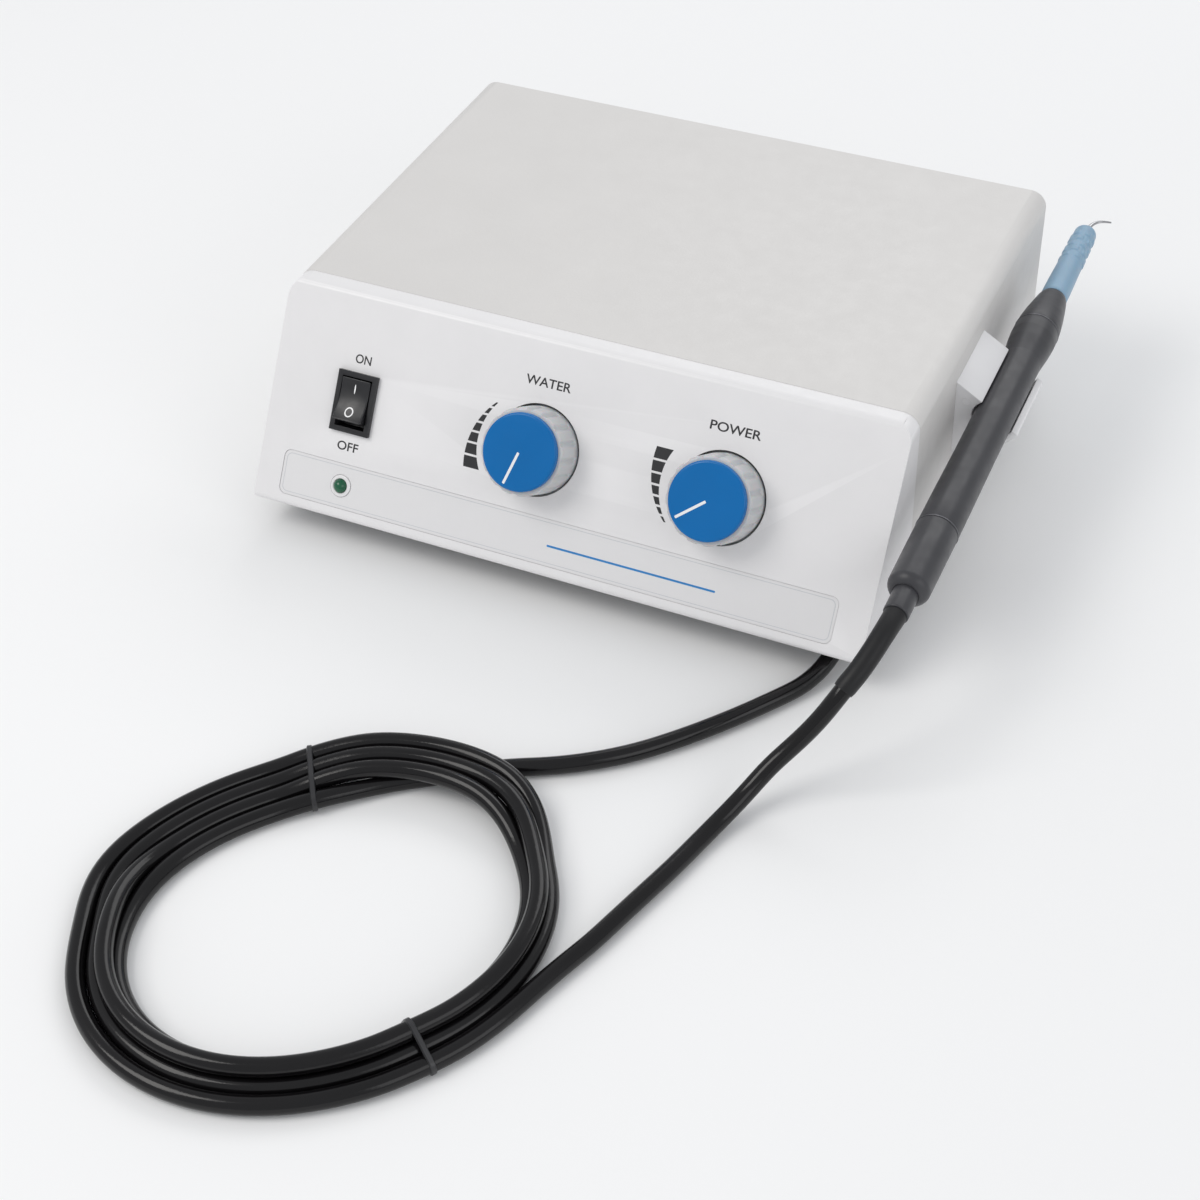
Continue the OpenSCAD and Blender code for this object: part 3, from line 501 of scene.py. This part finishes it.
def make_hose():
    """The hose from the box to the handpiece, the sleeve over its end and the ties round its coil."""
    hose = tube("hose", HOSE_PATH, HOSE_R * MM)
    dress(hose, "hose_black", None, "hose_feed", "hose_coil", "hose_lead")

    def sleeve_radius(along):
        return (SLEEVE_R + SLEEVE_LIP * smoothstep(along * 20) + SLEEVE_FLARE * along ** 4) * MM

    sleeve = tube("sleeve", smooth_path(metres(SLEEVE), spacing=1.5 * MM), sleeve_radius)
    dress(sleeve, "sleeve_black", None, "hose_sleeve")
    for piece in (hose, sleeve):
        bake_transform(piece)
    ties = [dress(make_tie(name, tie), "black_plastic", "housing")
            for name, tie in zip(("coil_tie_back", "coil_tie_front"), TIES)]


make_hose()


# ---------------------------------------------------------------- shaping helpers

# Degrees: the edges of a CAD piece that are sharper than this are softened.
SOFT_ANGLE = 35
# A stretch of this area, in square metres, counts as a flat. The cosines say how nearly two faces' directions
# agree when the faces lie in one plane, and when an edge's face is shaded as part of the flat beside it.
FLAT_AREA = 500 * MM * MM
ONE_PLANE = 0.99999
BESIDE_FLAT = 0.5


def refined(node, width, wide=None):
    """The CAD piece with softened edges, dressed as its node.

    wide is (a test of an edge's two ends, a width, a number of steps), for a big round on some edges.
    """
    merge_distance, straight = 0.002 * MM, math.radians(0.5)
    mesh = NODES[node].data.copy()
    work = bmesh.new()
    work.from_mesh(mesh)
    bmesh.ops.remove_doubles(work, verts=work.verts, dist=merge_distance)
    bmesh.ops.dissolve_limit(work, angle_limit=straight, verts=work.verts, edges=work.edges)
    if wide:
        test, size, steps = wide
        chosen = [edge for edge in work.edges
                  if edge.is_manifold and edge.calc_face_angle(0) > math.radians(SOFT_ANGLE)
                  and test(*[vertex.co for vertex in edge.verts])]
        bmesh.ops.bevel(work, geom=chosen, offset=size, segments=steps, profile=0.5, affect="EDGES",
                        clamp_overlap=True)
    work.to_mesh(mesh)
    work.free()
    piece = bpy.data.objects.new(node + "_shell", mesh)
    bpy.context.collection.objects.link(piece)
    soften(piece, width, 2, SOFT_ANGLE)
    settle(piece, SOFT_ANGLE)
    dress(piece, SLOT_OF[node], BODY_OF[node], node)


def soften(piece, width, steps, angle):
    """Rounds the edges of a piece that are sharper than an angle in degrees."""
    bevel = piece.modifiers.new("soften", "BEVEL")
    bevel.width = width
    bevel.segments = steps
    bevel.limit_method = "ANGLE"
    bevel.angle_limit = math.radians(angle)


def applied(piece):
    """The piece's mesh with its modifiers applied."""
    shape = bpy.data.meshes.new_from_object(piece.evaluated_get(bpy.context.evaluated_depsgraph_get()))
    piece.modifiers.clear()
    piece.data = shape
    return shape


def flat_normals(shape):
    """For each vertex of a mesh, the flats that it lies on: their numbers, with their normals."""
    grid = bmesh.new()
    grid.from_mesh(shape)
    seen, flats = set(), {}
    for first in grid.faces:
        if first.index in seen:
            continue
        seen.add(first.index)
        group = [first]
        for face in group:
            for other in (beside for edge in face.edges for beside in edge.link_faces):
                if other.index not in seen and other.normal.dot(first.normal) > ONE_PLANE:
                    seen.add(other.index)
                    group.append(other)
        if sum(face.calc_area() for face in group) > FLAT_AREA:
            for index in {vertex.index for face in group for vertex in face.verts}:
                flats.setdefault(index, {})[first.index] = first.normal.copy()
    grid.free()
    return flats


def settle(piece, angle):
    """Applies a piece's modifiers, and shades it smooth except at edges over the angle and on its flats."""
    shape = applied(piece)
    shape.shade_smooth()
    shape.set_sharp_from_angle(angle=math.radians(angle))
    flats = flat_normals(shape)
    normals = [normal.vector.copy() for normal in shape.corner_normals]
    for face in shape.polygons:
        shared = set.intersection(*(set(flats.get(vertex, ())) for vertex in face.vertices))
        for corner in face.loop_indices:
            for number, flat in flats.get(shape.loops[corner].vertex_index, {}).items():
                if number in shared or flat.dot(face.normal) > BESIDE_FLAT:
                    normals[corner] = flat
    shape.normals_split_custom_set(normals)


def rounded(outline, radius, steps=5, closed=True):
    """An outline in a plane with each corner turned into a small curve that takes most of no edge."""
    share = 0.45
    count = len(outline)
    result = []
    for i in range(count):
        here = Vector(outline[i])
        if not closed and i in (0, count - 1):
            result.append(here)
            continue
        before, after = Vector(outline[i - 1]), Vector(outline[(i + 1) % count])
        reach = min(radius, share * (before - here).length, share * (after - here).length)
        a = here + (before - here).normalized() * reach
        b = here + (after - here).normalized() * reach
        for k in range(steps + 1):
            t = k / steps
            result.append(a * (1 - t) ** 2 + here * 2 * t * (1 - t) + b * t ** 2)
    return result


def lathe(name, outline, place, sides=96, swell=None, closed=False):
    """Turns an outline of (radius, along) in mm about place's Z. swell(turn, along) adds to the radius."""
    points, faces, rings = [], [], []
    for r, z in outline:
        if r == 0:
            rings.append([len(points)])
            points.append(place @ Vector((0, 0, z * MM)))
            continue
        ring = []
        for k in range(sides):
            turn = 2 * math.pi * k / sides
            wide = (r + (swell(turn, z) if swell else 0)) * MM
            ring.append(len(points))
            points.append(place @ Vector((wide * math.cos(turn), wide * math.sin(turn), z * MM)))
        rings.append(ring)
    pairs = list(zip(rings, rings[1:]))
    if closed:
        pairs.append((rings[-1], rings[0]))
    for lower, upper in pairs:
        for k in range(sides):
            m = (k + 1) % sides
            if len(lower) == 1 and len(upper) == 1:
                continue
            if len(lower) == 1:
                faces.append((lower[0], upper[k], upper[m]))
            elif len(upper) == 1:
                faces.append((lower[k], upper[0], lower[m]))
            else:
                faces.append((lower[k], lower[m], upper[m], upper[k]))
    return mesh_object(name, points, faces)


def slab(name, outline, low, high, place):
    """A flat shape of constant thickness from an outline in mm, standing on place's XY plane."""
    count = len(outline)
    points = [place @ Vector((x * MM, y * MM, h * MM)) for h in (low, high) for x, y in outline]
    faces = [tuple(range(count - 1, -1, -1)), tuple(range(count, 2 * count))]
    faces += [(k, (k + 1) % count, count + (k + 1) % count, count + k) for k in range(count)]
    return mesh_object(name, points, faces)


def band_faces(count):
    """The faces of a closed band from four rings of points: two side by side, and the same two above them."""
    faces = []
    for k in range(count):
        m = (k + 1) % count
        faces += [(k, m, count + m, count + k),
                  (2 * count + k, 3 * count + k, 3 * count + m, 2 * count + m),
                  (k, 2 * count + k, 2 * count + m, m),
                  (count + k, count + m, 3 * count + m, 3 * count + k)]
    return faces


def joined(name, pieces):
    """Several meshes as one piece."""
    work = bmesh.new()
    for piece in pieces:
        work.from_mesh(piece.data)
        bpy.data.objects.remove(piece)
    mesh = bpy.data.meshes.new(name)
    work.to_mesh(mesh)
    work.free()
    mesh.shade_smooth()
    mesh.set_sharp_from_angle(angle=math.radians(SHARP))
    whole = bpy.data.objects.new(name, mesh)
    bpy.context.collection.objects.link(whole)
    return whole


# ---------------------------------------------------------------- the places of the face and the handpiece

# Places on the face in mm: x to the right of the box's middle, v up the face.
CONTROL_V = 42.5
POWER_X, WATER_X, SWITCH_X = 55, -11, -79.4
LAMP_V = 13.3
OUT = Vector(JOINTS["power_turn"]["axis"])
UP = OUT.cross(Vector((1, 0, 0)))
FACE_ZERO = Vector(JOINTS["power_turn"]["pos_m"]) - UP * CONTROL_V * MM - Vector((POWER_X * MM, 0, 0))


def on_face(x, v, h=0):
    """The place x across the slanted face and v up it, h proud of it, with Z out of the face."""
    origin = FACE_ZERO + Vector((x * MM, 0, 0)) + UP * v * MM + OUT * h * MM
    turn = Matrix((Vector((1, 0, 0)), UP, OUT)).transposed().to_4x4()
    return Matrix.Translation(origin) @ turn


HAND_AXIS = Vector(JOINTS["insert_turn"]["axis"])
HAND_SIDE = Vector((1, 0, 0))
HAND = (Matrix.Translation(Vector(JOINTS["insert_turn"]["pos_m"]))
        @ Matrix((HAND_SIDE, HAND_AXIS.cross(HAND_SIDE), HAND_AXIS)).transposed().to_4x4())


# ---------------------------------------------------------------- housing

# How wide the softened edges of the other outside pieces are, in mm.
SOFT_EDGES = {
    "top_cover": 0.25, "base_pan": 0.2, "rear_panel": 0.25, "cradle": 0.6, "switch_housing": 0.35,
    "mains_inlet": 0.4, "fuse_drawer": 0.3, "footswitch_socket": 0.4, "water_inlet": 0.3,
    "rubber_feet": 0.4, "hose_gland": 0.4, "chassis_screws": 0.15, "cradle_screws": 0.15,
}


def make_housing():
    """The console with wide rounds at the sides of its face, and the other outside pieces with soft edges."""
    low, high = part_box("front_console")
    side = (high[0] - low[0]) / 2
    seam = high[1]

    def face_side(a, b):
        middle = (a + b) / 2
        at_side = abs(abs(middle.x - (low[0] + high[0]) / 2) - side) < 0.3 * MM
        return at_side and max(a.y, b.y) < seam - 0.5 * MM

    refined("front_console", 0.35 * MM, wide=(face_side, 2.2 * MM, 5))
    for node, width in SOFT_EDGES.items():
        refined(node, width * MM)


def make_label():
    """A plain film in the face's recess, with a thin printed border and a rule."""
    label_x, half_w, half_h, corner_r, corner_steps = -0.8, 101.75, 7.75, 2.5, 8
    film_low, film_high = -0.55, -0.25
    hole_r, hole_sides = 4, 48
    border_outer, border_inner, ink = 0.9, 1.15, 0.03

    def plate(inset):
        w, h, r = half_w - inset, half_h - inset, corner_r - 0.6 * inset
        outline = []
        for sx, sy, start in ((1, 1, 0), (-1, 1, 90), (-1, -1, 180), (1, -1, 270)):
            for k in range(corner_steps + 1):
                turn = math.radians(start + k * 90 / corner_steps)
                outline.append((sx * (w - r) + r * math.cos(turn), sy * (h - r) + r * math.sin(turn)))
        return outline

    place = on_face(label_x, LAMP_V)
    film = slab("label_film_plain", plate(0), film_low, film_high, place)
    turns = [2 * math.pi * k / hole_sides for k in range(hole_sides)]
    circle = [(SWITCH_X - label_x + hole_r * math.cos(turn), hole_r * math.sin(turn)) for turn in turns]
    hole = slab("label_hole", circle, -1, 1, place)
    cut = film.modifiers.new("hole", "BOOLEAN")
    cut.object = hole
    cut.solver = "EXACT"
    settle(film, SHARP)
    bpy.data.objects.remove(hole)
    dress(film, "label_film", "housing", "label_plate")
    outer, inner = plate(border_outer), plate(border_inner)
    points = [place @ Vector((x * MM, y * MM, h * MM)) for h in (film_high, film_high + ink)
              for ring in (outer, inner) for x, y in ring]
    border = mesh_object("label_border", points, band_faces(len(outer)))
    dress(border, "label_film", "housing", look="print_grey")
    rule = rounded([(-0.5, -0.35), (60, -0.35), (60, 0.35), (-0.5, 0.35)], 0.3)
    dress(slab("label_rule", rule, film_high, film_high + 0.04, on_face(0, LAMP_V - 1)), "label_film",
          "housing", look="print_blue")


# Each word's name, letters, place on the face and width in mm.
WORDS = (
    ("word_on", "ON", -79.2, 57.6, 6.0),
    ("word_off", "OFF", -79.3, 27.2, 8.0),
    ("word_water", "WATER", -11, 65.1, 16.4),
    ("word_power", "POWER", 55.4, 65.1, 17.6),
)


def make_lettering():
    """The generic words beside the controls, printed on the face, each to its own width."""
    cap_height, ink_scale, ink_height = 3.1, 4, 0.02
    for name, letters, x, v, width in WORDS:
        curve = bpy.data.curves.new(name, "FONT")
        curve.body = letters
        curve.align_x = "CENTER"
        curve.align_y = "CENTER"
        curve.extrude = 0.004
        curve.offset = 0.012
        raw = bpy.data.objects.new(name + "_raw", curve)
        bpy.context.collection.objects.link(raw)
        mesh = bpy.data.meshes.new_from_object(raw.evaluated_get(bpy.context.evaluated_depsgraph_get()))
        bpy.data.objects.remove(raw)
        xs = [p.co.x for p in mesh.vertices]
        ys = [p.co.y for p in mesh.vertices]
        middle = Vector((-(max(xs) + min(xs)) / 2, -(max(ys) + min(ys)) / 2, 0))
        wide, tall = width / (max(xs) - min(xs)), cap_height / (max(ys) - min(ys))
        fit = Matrix.Diagonal((wide * MM, tall * MM, ink_scale * MM, 1))
        mesh.transform(on_face(x, v, ink_height) @ fit @ Matrix.Translation(middle))
        word = bpy.data.objects.new(name, mesh)
        bpy.context.collection.objects.link(word)
        dress(word, "black_plastic", "housing", look="print_black")


def make_scale(name, x, way):
    """A crescent printed left of a knob, cut across into blocks. Its thin end is up for way 1, down for -1."""
    blocks, gap, shrink = 7, 0.75, 0.38
    # The crescent's half height, how far its middle lies towards the thin end, and its two edges' radii.
    reach, shift = 12.2, 0.8
    inner_thin, outer_thin, inner_thick, outer_thick = 20.4, 20.8, 21.9, 27.1
    mean = 2 * reach / blocks
    steps = 6

    def rim(radius_thin, radius_thick, v):
        radius = radius_thick + (radius_thin - radius_thick) * (v + reach) / (2 * reach)
        height = v + shift
        return (-math.sqrt(radius * radius - height * height), way * height)

    pieces, low = [], -reach
    for k in range(blocks):
        high = low + mean + shrink * ((blocks - 1) / 2 - k)
        levels = [low + (high - gap - low) * j / steps for j in range(steps + 1)]
        outline = [rim(inner_thin, inner_thick, v) for v in levels]
        outline += [rim(outer_thin, outer_thick, v) for v in reversed(levels)]
        pieces.append(slab(f"{name}_{k}", outline, 0.005, 0.035, on_face(x, CONTROL_V)))
        low = high
    dress(joined(name, pieces), "black_plastic", "housing", look="print_black")


# ---------------------------------------------------------------- controls

# The knobs in mm, with heights from the face, and where the white lines point at rest, in degrees.
SKIRT_R, SKIRT_LOW, SKIRT_TOP, CAP_R, KNOB_H = 14.8, -1.5, 12, 13.1, 14.2
FLUTES, FLUTE_DEPTH, SIDES_PER_FLUTE = 16, 0.9, 16
POWER_REST, WATER_REST = -140.75, -106.5


def make_knob(label, x, body, rest):
    """A fluted skirt, a glossy cap with a rounded rim, and the white line on the cap."""
    place = on_face(x, CONTROL_V)

    def flute(turn, z):
        fade = smoothstep((z - 0.8) / 0.8) * smoothstep((SKIRT_TOP - z) / 0.5)
        return -FLUTE_DEPTH * fade * max(0.0, math.cos(FLUTES * turn)) ** 1.5

    shell = [(0, 0.5), (12.4, 0.5), (12.4, SKIRT_LOW), (SKIRT_R, SKIRT_LOW), (SKIRT_R, 0.8),
             (SKIRT_R, 1.2), (SKIRT_R, 1.6), (SKIRT_R - 0.1, 10.9), (SKIRT_R - 0.3, 11.6),
             (SKIRT_R - 0.7, 11.94), (SKIRT_R - 1.3, SKIRT_TOP), (0, SKIRT_TOP)]
    skirt = lathe(label + "_skirt", shell, place, sides=FLUTES * SIDES_PER_FLUTE, swell=flute)
    dress(skirt, "knob_grey", body, label + "_knob")
    cap_low = SKIRT_TOP + 0.05
    rim = rounded([(CAP_R, cap_low), (CAP_R, KNOB_H), (10.7, KNOB_H)], 1.1, 8, closed=False)
    cap = lathe(label + "_cap_gloss", [(0, cap_low), *rim, (0, KNOB_H)], place, sides=128)
    dress(cap, "knob_blue", body, label + "_cap")
    line = rounded([(0.1, -0.45), (11.7, -0.45), (11.7, 0.45), (0.1, 0.45)], 0.3)
    turned = place @ Matrix.Rotation(math.radians(rest), 4, "Z")
    pointer = slab(label + "_line", line, KNOB_H - 0.1, KNOB_H + 0.03, turned)
    dress(pointer, "line_white", body, label + "_pointer")


def make_rocker():
    """A paddle with a hollow curved face, its axle, and its I and O marks."""
    pivot_depth, rest_tilt = 2, -11
    half_width, end, steps = 5.4, 7.4, 24
    axle_r, axle_end = 1.2, 6.3
    mark_low, mark_high, mark_sides = 0.01, 0.05, 40
    o_place, i_place = -4.1, 4.0
    pivot = on_face(SWITCH_X, CONTROL_V, -pivot_depth) @ Matrix.Rotation(math.radians(rest_tilt), 4, "X")

    def crown(v):
        return 4.4 + 1.5 * (v / end) ** 2

    side = [(-end, crown(end)), (-7.3, 1.5), (-4.5, -2.2), (4.5, -2.2), (7.3, 1.5), (end, crown(end))]
    along = [end - 2 * end * k / steps for k in range(1, steps)]
    side += [(v, crown(v)) for v in along]
    sideways = Matrix(((0, 0, 1, 0), (1, 0, 0, 0), (0, 1, 0, 0), (0, 0, 0, 1)))
    paddle = slab("rocker_paddle", side, -half_width, half_width, pivot @ sideways)
    soften(paddle, 0.4 * MM, 3, SHARP)
    settle(paddle, SHARP)
    pin = rounded([(0, -axle_end), (axle_r, -axle_end), (axle_r, axle_end), (0, axle_end)], 0.2, 3,
                  closed=False)
    axle = lathe("rocker_axle", pin, pivot @ sideways)
    dress(joined("rocker_body", [paddle, axle]), "black_plastic", "rocker", "rocker")

    def mark(name, inside, outside):
        points = [pivot @ Vector((x * MM, v * MM, (crown(v) + h) * MM)) for h in (mark_low, mark_high)
                  for ring in (inside, outside) for x, v in ring]
        dress(mesh_object(name, points, band_faces(len(inside))), "line_white", "rocker")

    turns = [2 * math.pi * k / mark_sides for k in range(mark_sides)]
    circle = [(math.cos(turn), math.sin(turn)) for turn in turns]
    mark("rocker_mark_o", [(1.15 * c, 1.35 * s + o_place) for c, s in circle],
         [(1.6 * c, 1.8 * s + o_place) for c, s in circle])
    mark("rocker_mark_i", [(0.0, 1.2 * s + i_place) for c, s in circle],
         [(0.24 * c, 1.6 * s + i_place) for c, s in circle])


def make_lamp():
    """A green dome in a white collar."""
    lamp_r, dome_low, stem_low, step = 2.5, -0.4, -8, 9
    place = on_face(SWITCH_X, LAMP_V)
    turns = [math.radians(angle) for angle in range(0, 81, step)]
    dome = [(lamp_r * math.cos(turn), dome_low + lamp_r * math.sin(turn)) for turn in turns]
    outline = [(0, stem_low), (lamp_r, stem_low), *dome, (0, dome_low + lamp_r)]
    dress(lathe("lamp_dome", outline, place, sides=48), "lamp_green", "housing", "status_lamp")
    collar = rounded([(2.56, -0.6), (2.56, 0.25), (3.8, 0.1), (3.8, -0.6)], 0.25, 3)
    dress(lathe("lamp_collar", collar, place, sides=64, closed=True), "console_plastic", "housing")


# ---------------------------------------------------------------- handpiece and insert

# Where the handpiece's nose ends, in mm along its axis; the insert's grip starts beyond it.
NOSE_END = 55.4


def make_handpiece():
    """The grey shells, turned, with soft corners and thin seam rings."""
    nose_seam, tail_seam, tail_end, spigot_end = 35.2, -73.8, -104, -113.5
    waist, heel_r, heel_flat, corner_r = 6.7, 3.5, 3.4, 0.25
    nose = [(6.1, nose_seam + 0.35), (7.7, nose_seam + 0.35), (7.6, 37.5), (7.45, 39.5), (6.9, 44), (6.1, 49),
            (5.3, 53.5), (5, 54.6), (4.7, NOSE_END), (3.9, NOSE_END), (3.9, 44), (5.6, 39)]
    barrel = [(5.6, tail_seam + 0.35), (7, tail_seam + 0.35), (6.95, -65), (6.9, -56), (6.8, -46),
              (6.72, -36), (waist, -30), (waist, -8), (waist, 14), (6.75, 17), (7, 20), (7.5, 25),
              (7.8, 30), (7.75, nose_seam - 0.3), (5.6, nose_seam - 0.3)]
    turns = [math.radians(angle) for angle in range(285, 361, 5)]
    heel = [(heel_flat + heel_r * math.cos(turn), tail_end + heel_r + heel_r * math.sin(turn))
            for turn in turns]
    tail = [(5.6, tail_seam - 0.35), (5.6, tail_end + 5), (4.15, tail_end + 3), (4.15, tail_end),
            (4.4, tail_end), *heel, (6.95, -88), (7, tail_seam - 0.35)]
    spigot = [(1.6, spigot_end), (3.9, spigot_end), (4.1, spigot_end + 0.4), (4.1, tail_end + 3.2),
              (1.6, tail_end + 3.2)]
    for name, outline, node in (("nose_shell", nose, "handpiece_nose"),
                                ("barrel_shell", barrel, "handpiece_barrel"),
                                ("tail_shell", tail, "handpiece_tail"),
                                ("spigot_shell", spigot, "hose_spigot")):
        shell = lathe(name, rounded(outline, corner_r, 3), HAND, closed=True)
        dress(shell, "handpiece_grey", "handpiece", node)
    rings = []
    for seam, inside, outside in ((tail_seam, 5.6, 7.12), (nose_seam, 6.1, 7.82)):
        section = rounded([(inside, seam - 0.28), (outside, seam - 0.28), (outside, seam + 0.3),
                           (inside, seam + 0.3)], 0.15, 3)
        rings.append(lathe(f"ring_{len(rings)}", section, HAND, closed=True))
    dress(joined("seam_rings_turned", rings), "ring_metal", "handpiece", "seam_rings")


def make_insert():
    """The grey-blue grip with rows of raised pads near its front, and the steel tip in its collar."""
    grip_end, body_end, body_step = 99, 94, 0.3
    bore = 1.2
    back_r, waist_loss, waist_run = 4.75, 0.65, 38
    rows, pads_round = (78.5, 82, 85.5, 89, 92.5), 6
    pad_height, pad_half_angle, pad_half_length, pad_edge = 0.32, 0.36, 1.35, 2.2
    tip_r, tip_loss = 0.95, 0.62

    body = [(4.5, NOSE_END + 0.4), (back_r, NOSE_END + 1)]
    along = NOSE_END + 1.6
    while along < body_end:
        body.append((back_r - waist_loss * smoothstep((along - NOSE_END) / waist_run), along))
        along += body_step
    turns = [math.radians(angle) for angle in range(0, 86, 8)]
    shoulder = [(1.6 + 2.45 * math.cos(turn), grip_end - 2.6 + 2.4 * math.sin(turn)) for turn in turns]
    outline = [(bore, NOSE_END + 0.4), *body, *shoulder, (bore, grip_end)]

    def pads(turn, z):
        height = 0.0
        for index, row in enumerate(rows):
            for k in range(pads_round):
                middle = 2 * math.pi * (k + 0.5 * (index % 2)) / pads_round
                away = abs((turn - middle + math.pi) % (2 * math.pi) - math.pi)
                inside = 1 - max(away / pad_half_angle, abs(z - row) / pad_half_length)
                height = max(height, pad_height * smoothstep(pad_edge * inside))
        return height

    grip = lathe("grip_shell", outline, HAND, sides=144, closed=True,
                 swell=lambda turn, z: pads(turn, z) if 60 < z < 95 else 0.0)
    dress(grip, "grip_blue", "insert", "insert_grip")
    tip = [(0, 0, 0.05), (0.1, 0, 1.8), (0.4, 0, 3.8), (1.1, 0, 5.6), (2.4, 0, 7.2), (4.3, 0, 8.1),
           (6.8, 0, 8.5)]
    curve = [HAND @ (point + Vector((0, 0, grip_end * MM))) for point in metres(tip)]
    path = smooth_path(curve, spacing=0.25 * MM, passes=4)
    wire = tube("tip_wire", path, lambda way: (tip_r - tip_loss * way ** 0.9) * MM, sides=28)
    section = rounded([(0, grip_end - 1), (1.5, grip_end - 1), (1.3, grip_end + 0.9), (0, grip_end + 0.9)],
                      0.3, 4, closed=False)
    collar = lathe("tip_collar", section, HAND, sides=48)
    dress(joined("tip_polished", [wire, collar]), "tip_steel", "insert", "insert_tip")


def make_cradle_mark():
    """The small round mould mark on the end of the cradle."""
    place = HAND @ Matrix.Translation(Vector((-9.4, -4.9, -15)) * MM)
    ring = rounded([(1.2, 0.1), (1.6, 0.1), (1.6, -0.08), (1.2, -0.08)], 0.06, 2)
    dress(lathe("cradle_mark", ring, place, sides=48, closed=True), "cradle_plastic", "housing")


make_housing()
make_label()
make_lettering()
make_scale("water_scale", WATER_X, 1)
make_scale("power_scale", POWER_X, -1)
make_knob("power", POWER_X, "power_control", POWER_REST)
make_knob("water", WATER_X, "water_control", WATER_REST)
make_rocker()
make_lamp()
make_handpiece()
make_insert()
make_cradle_mark()
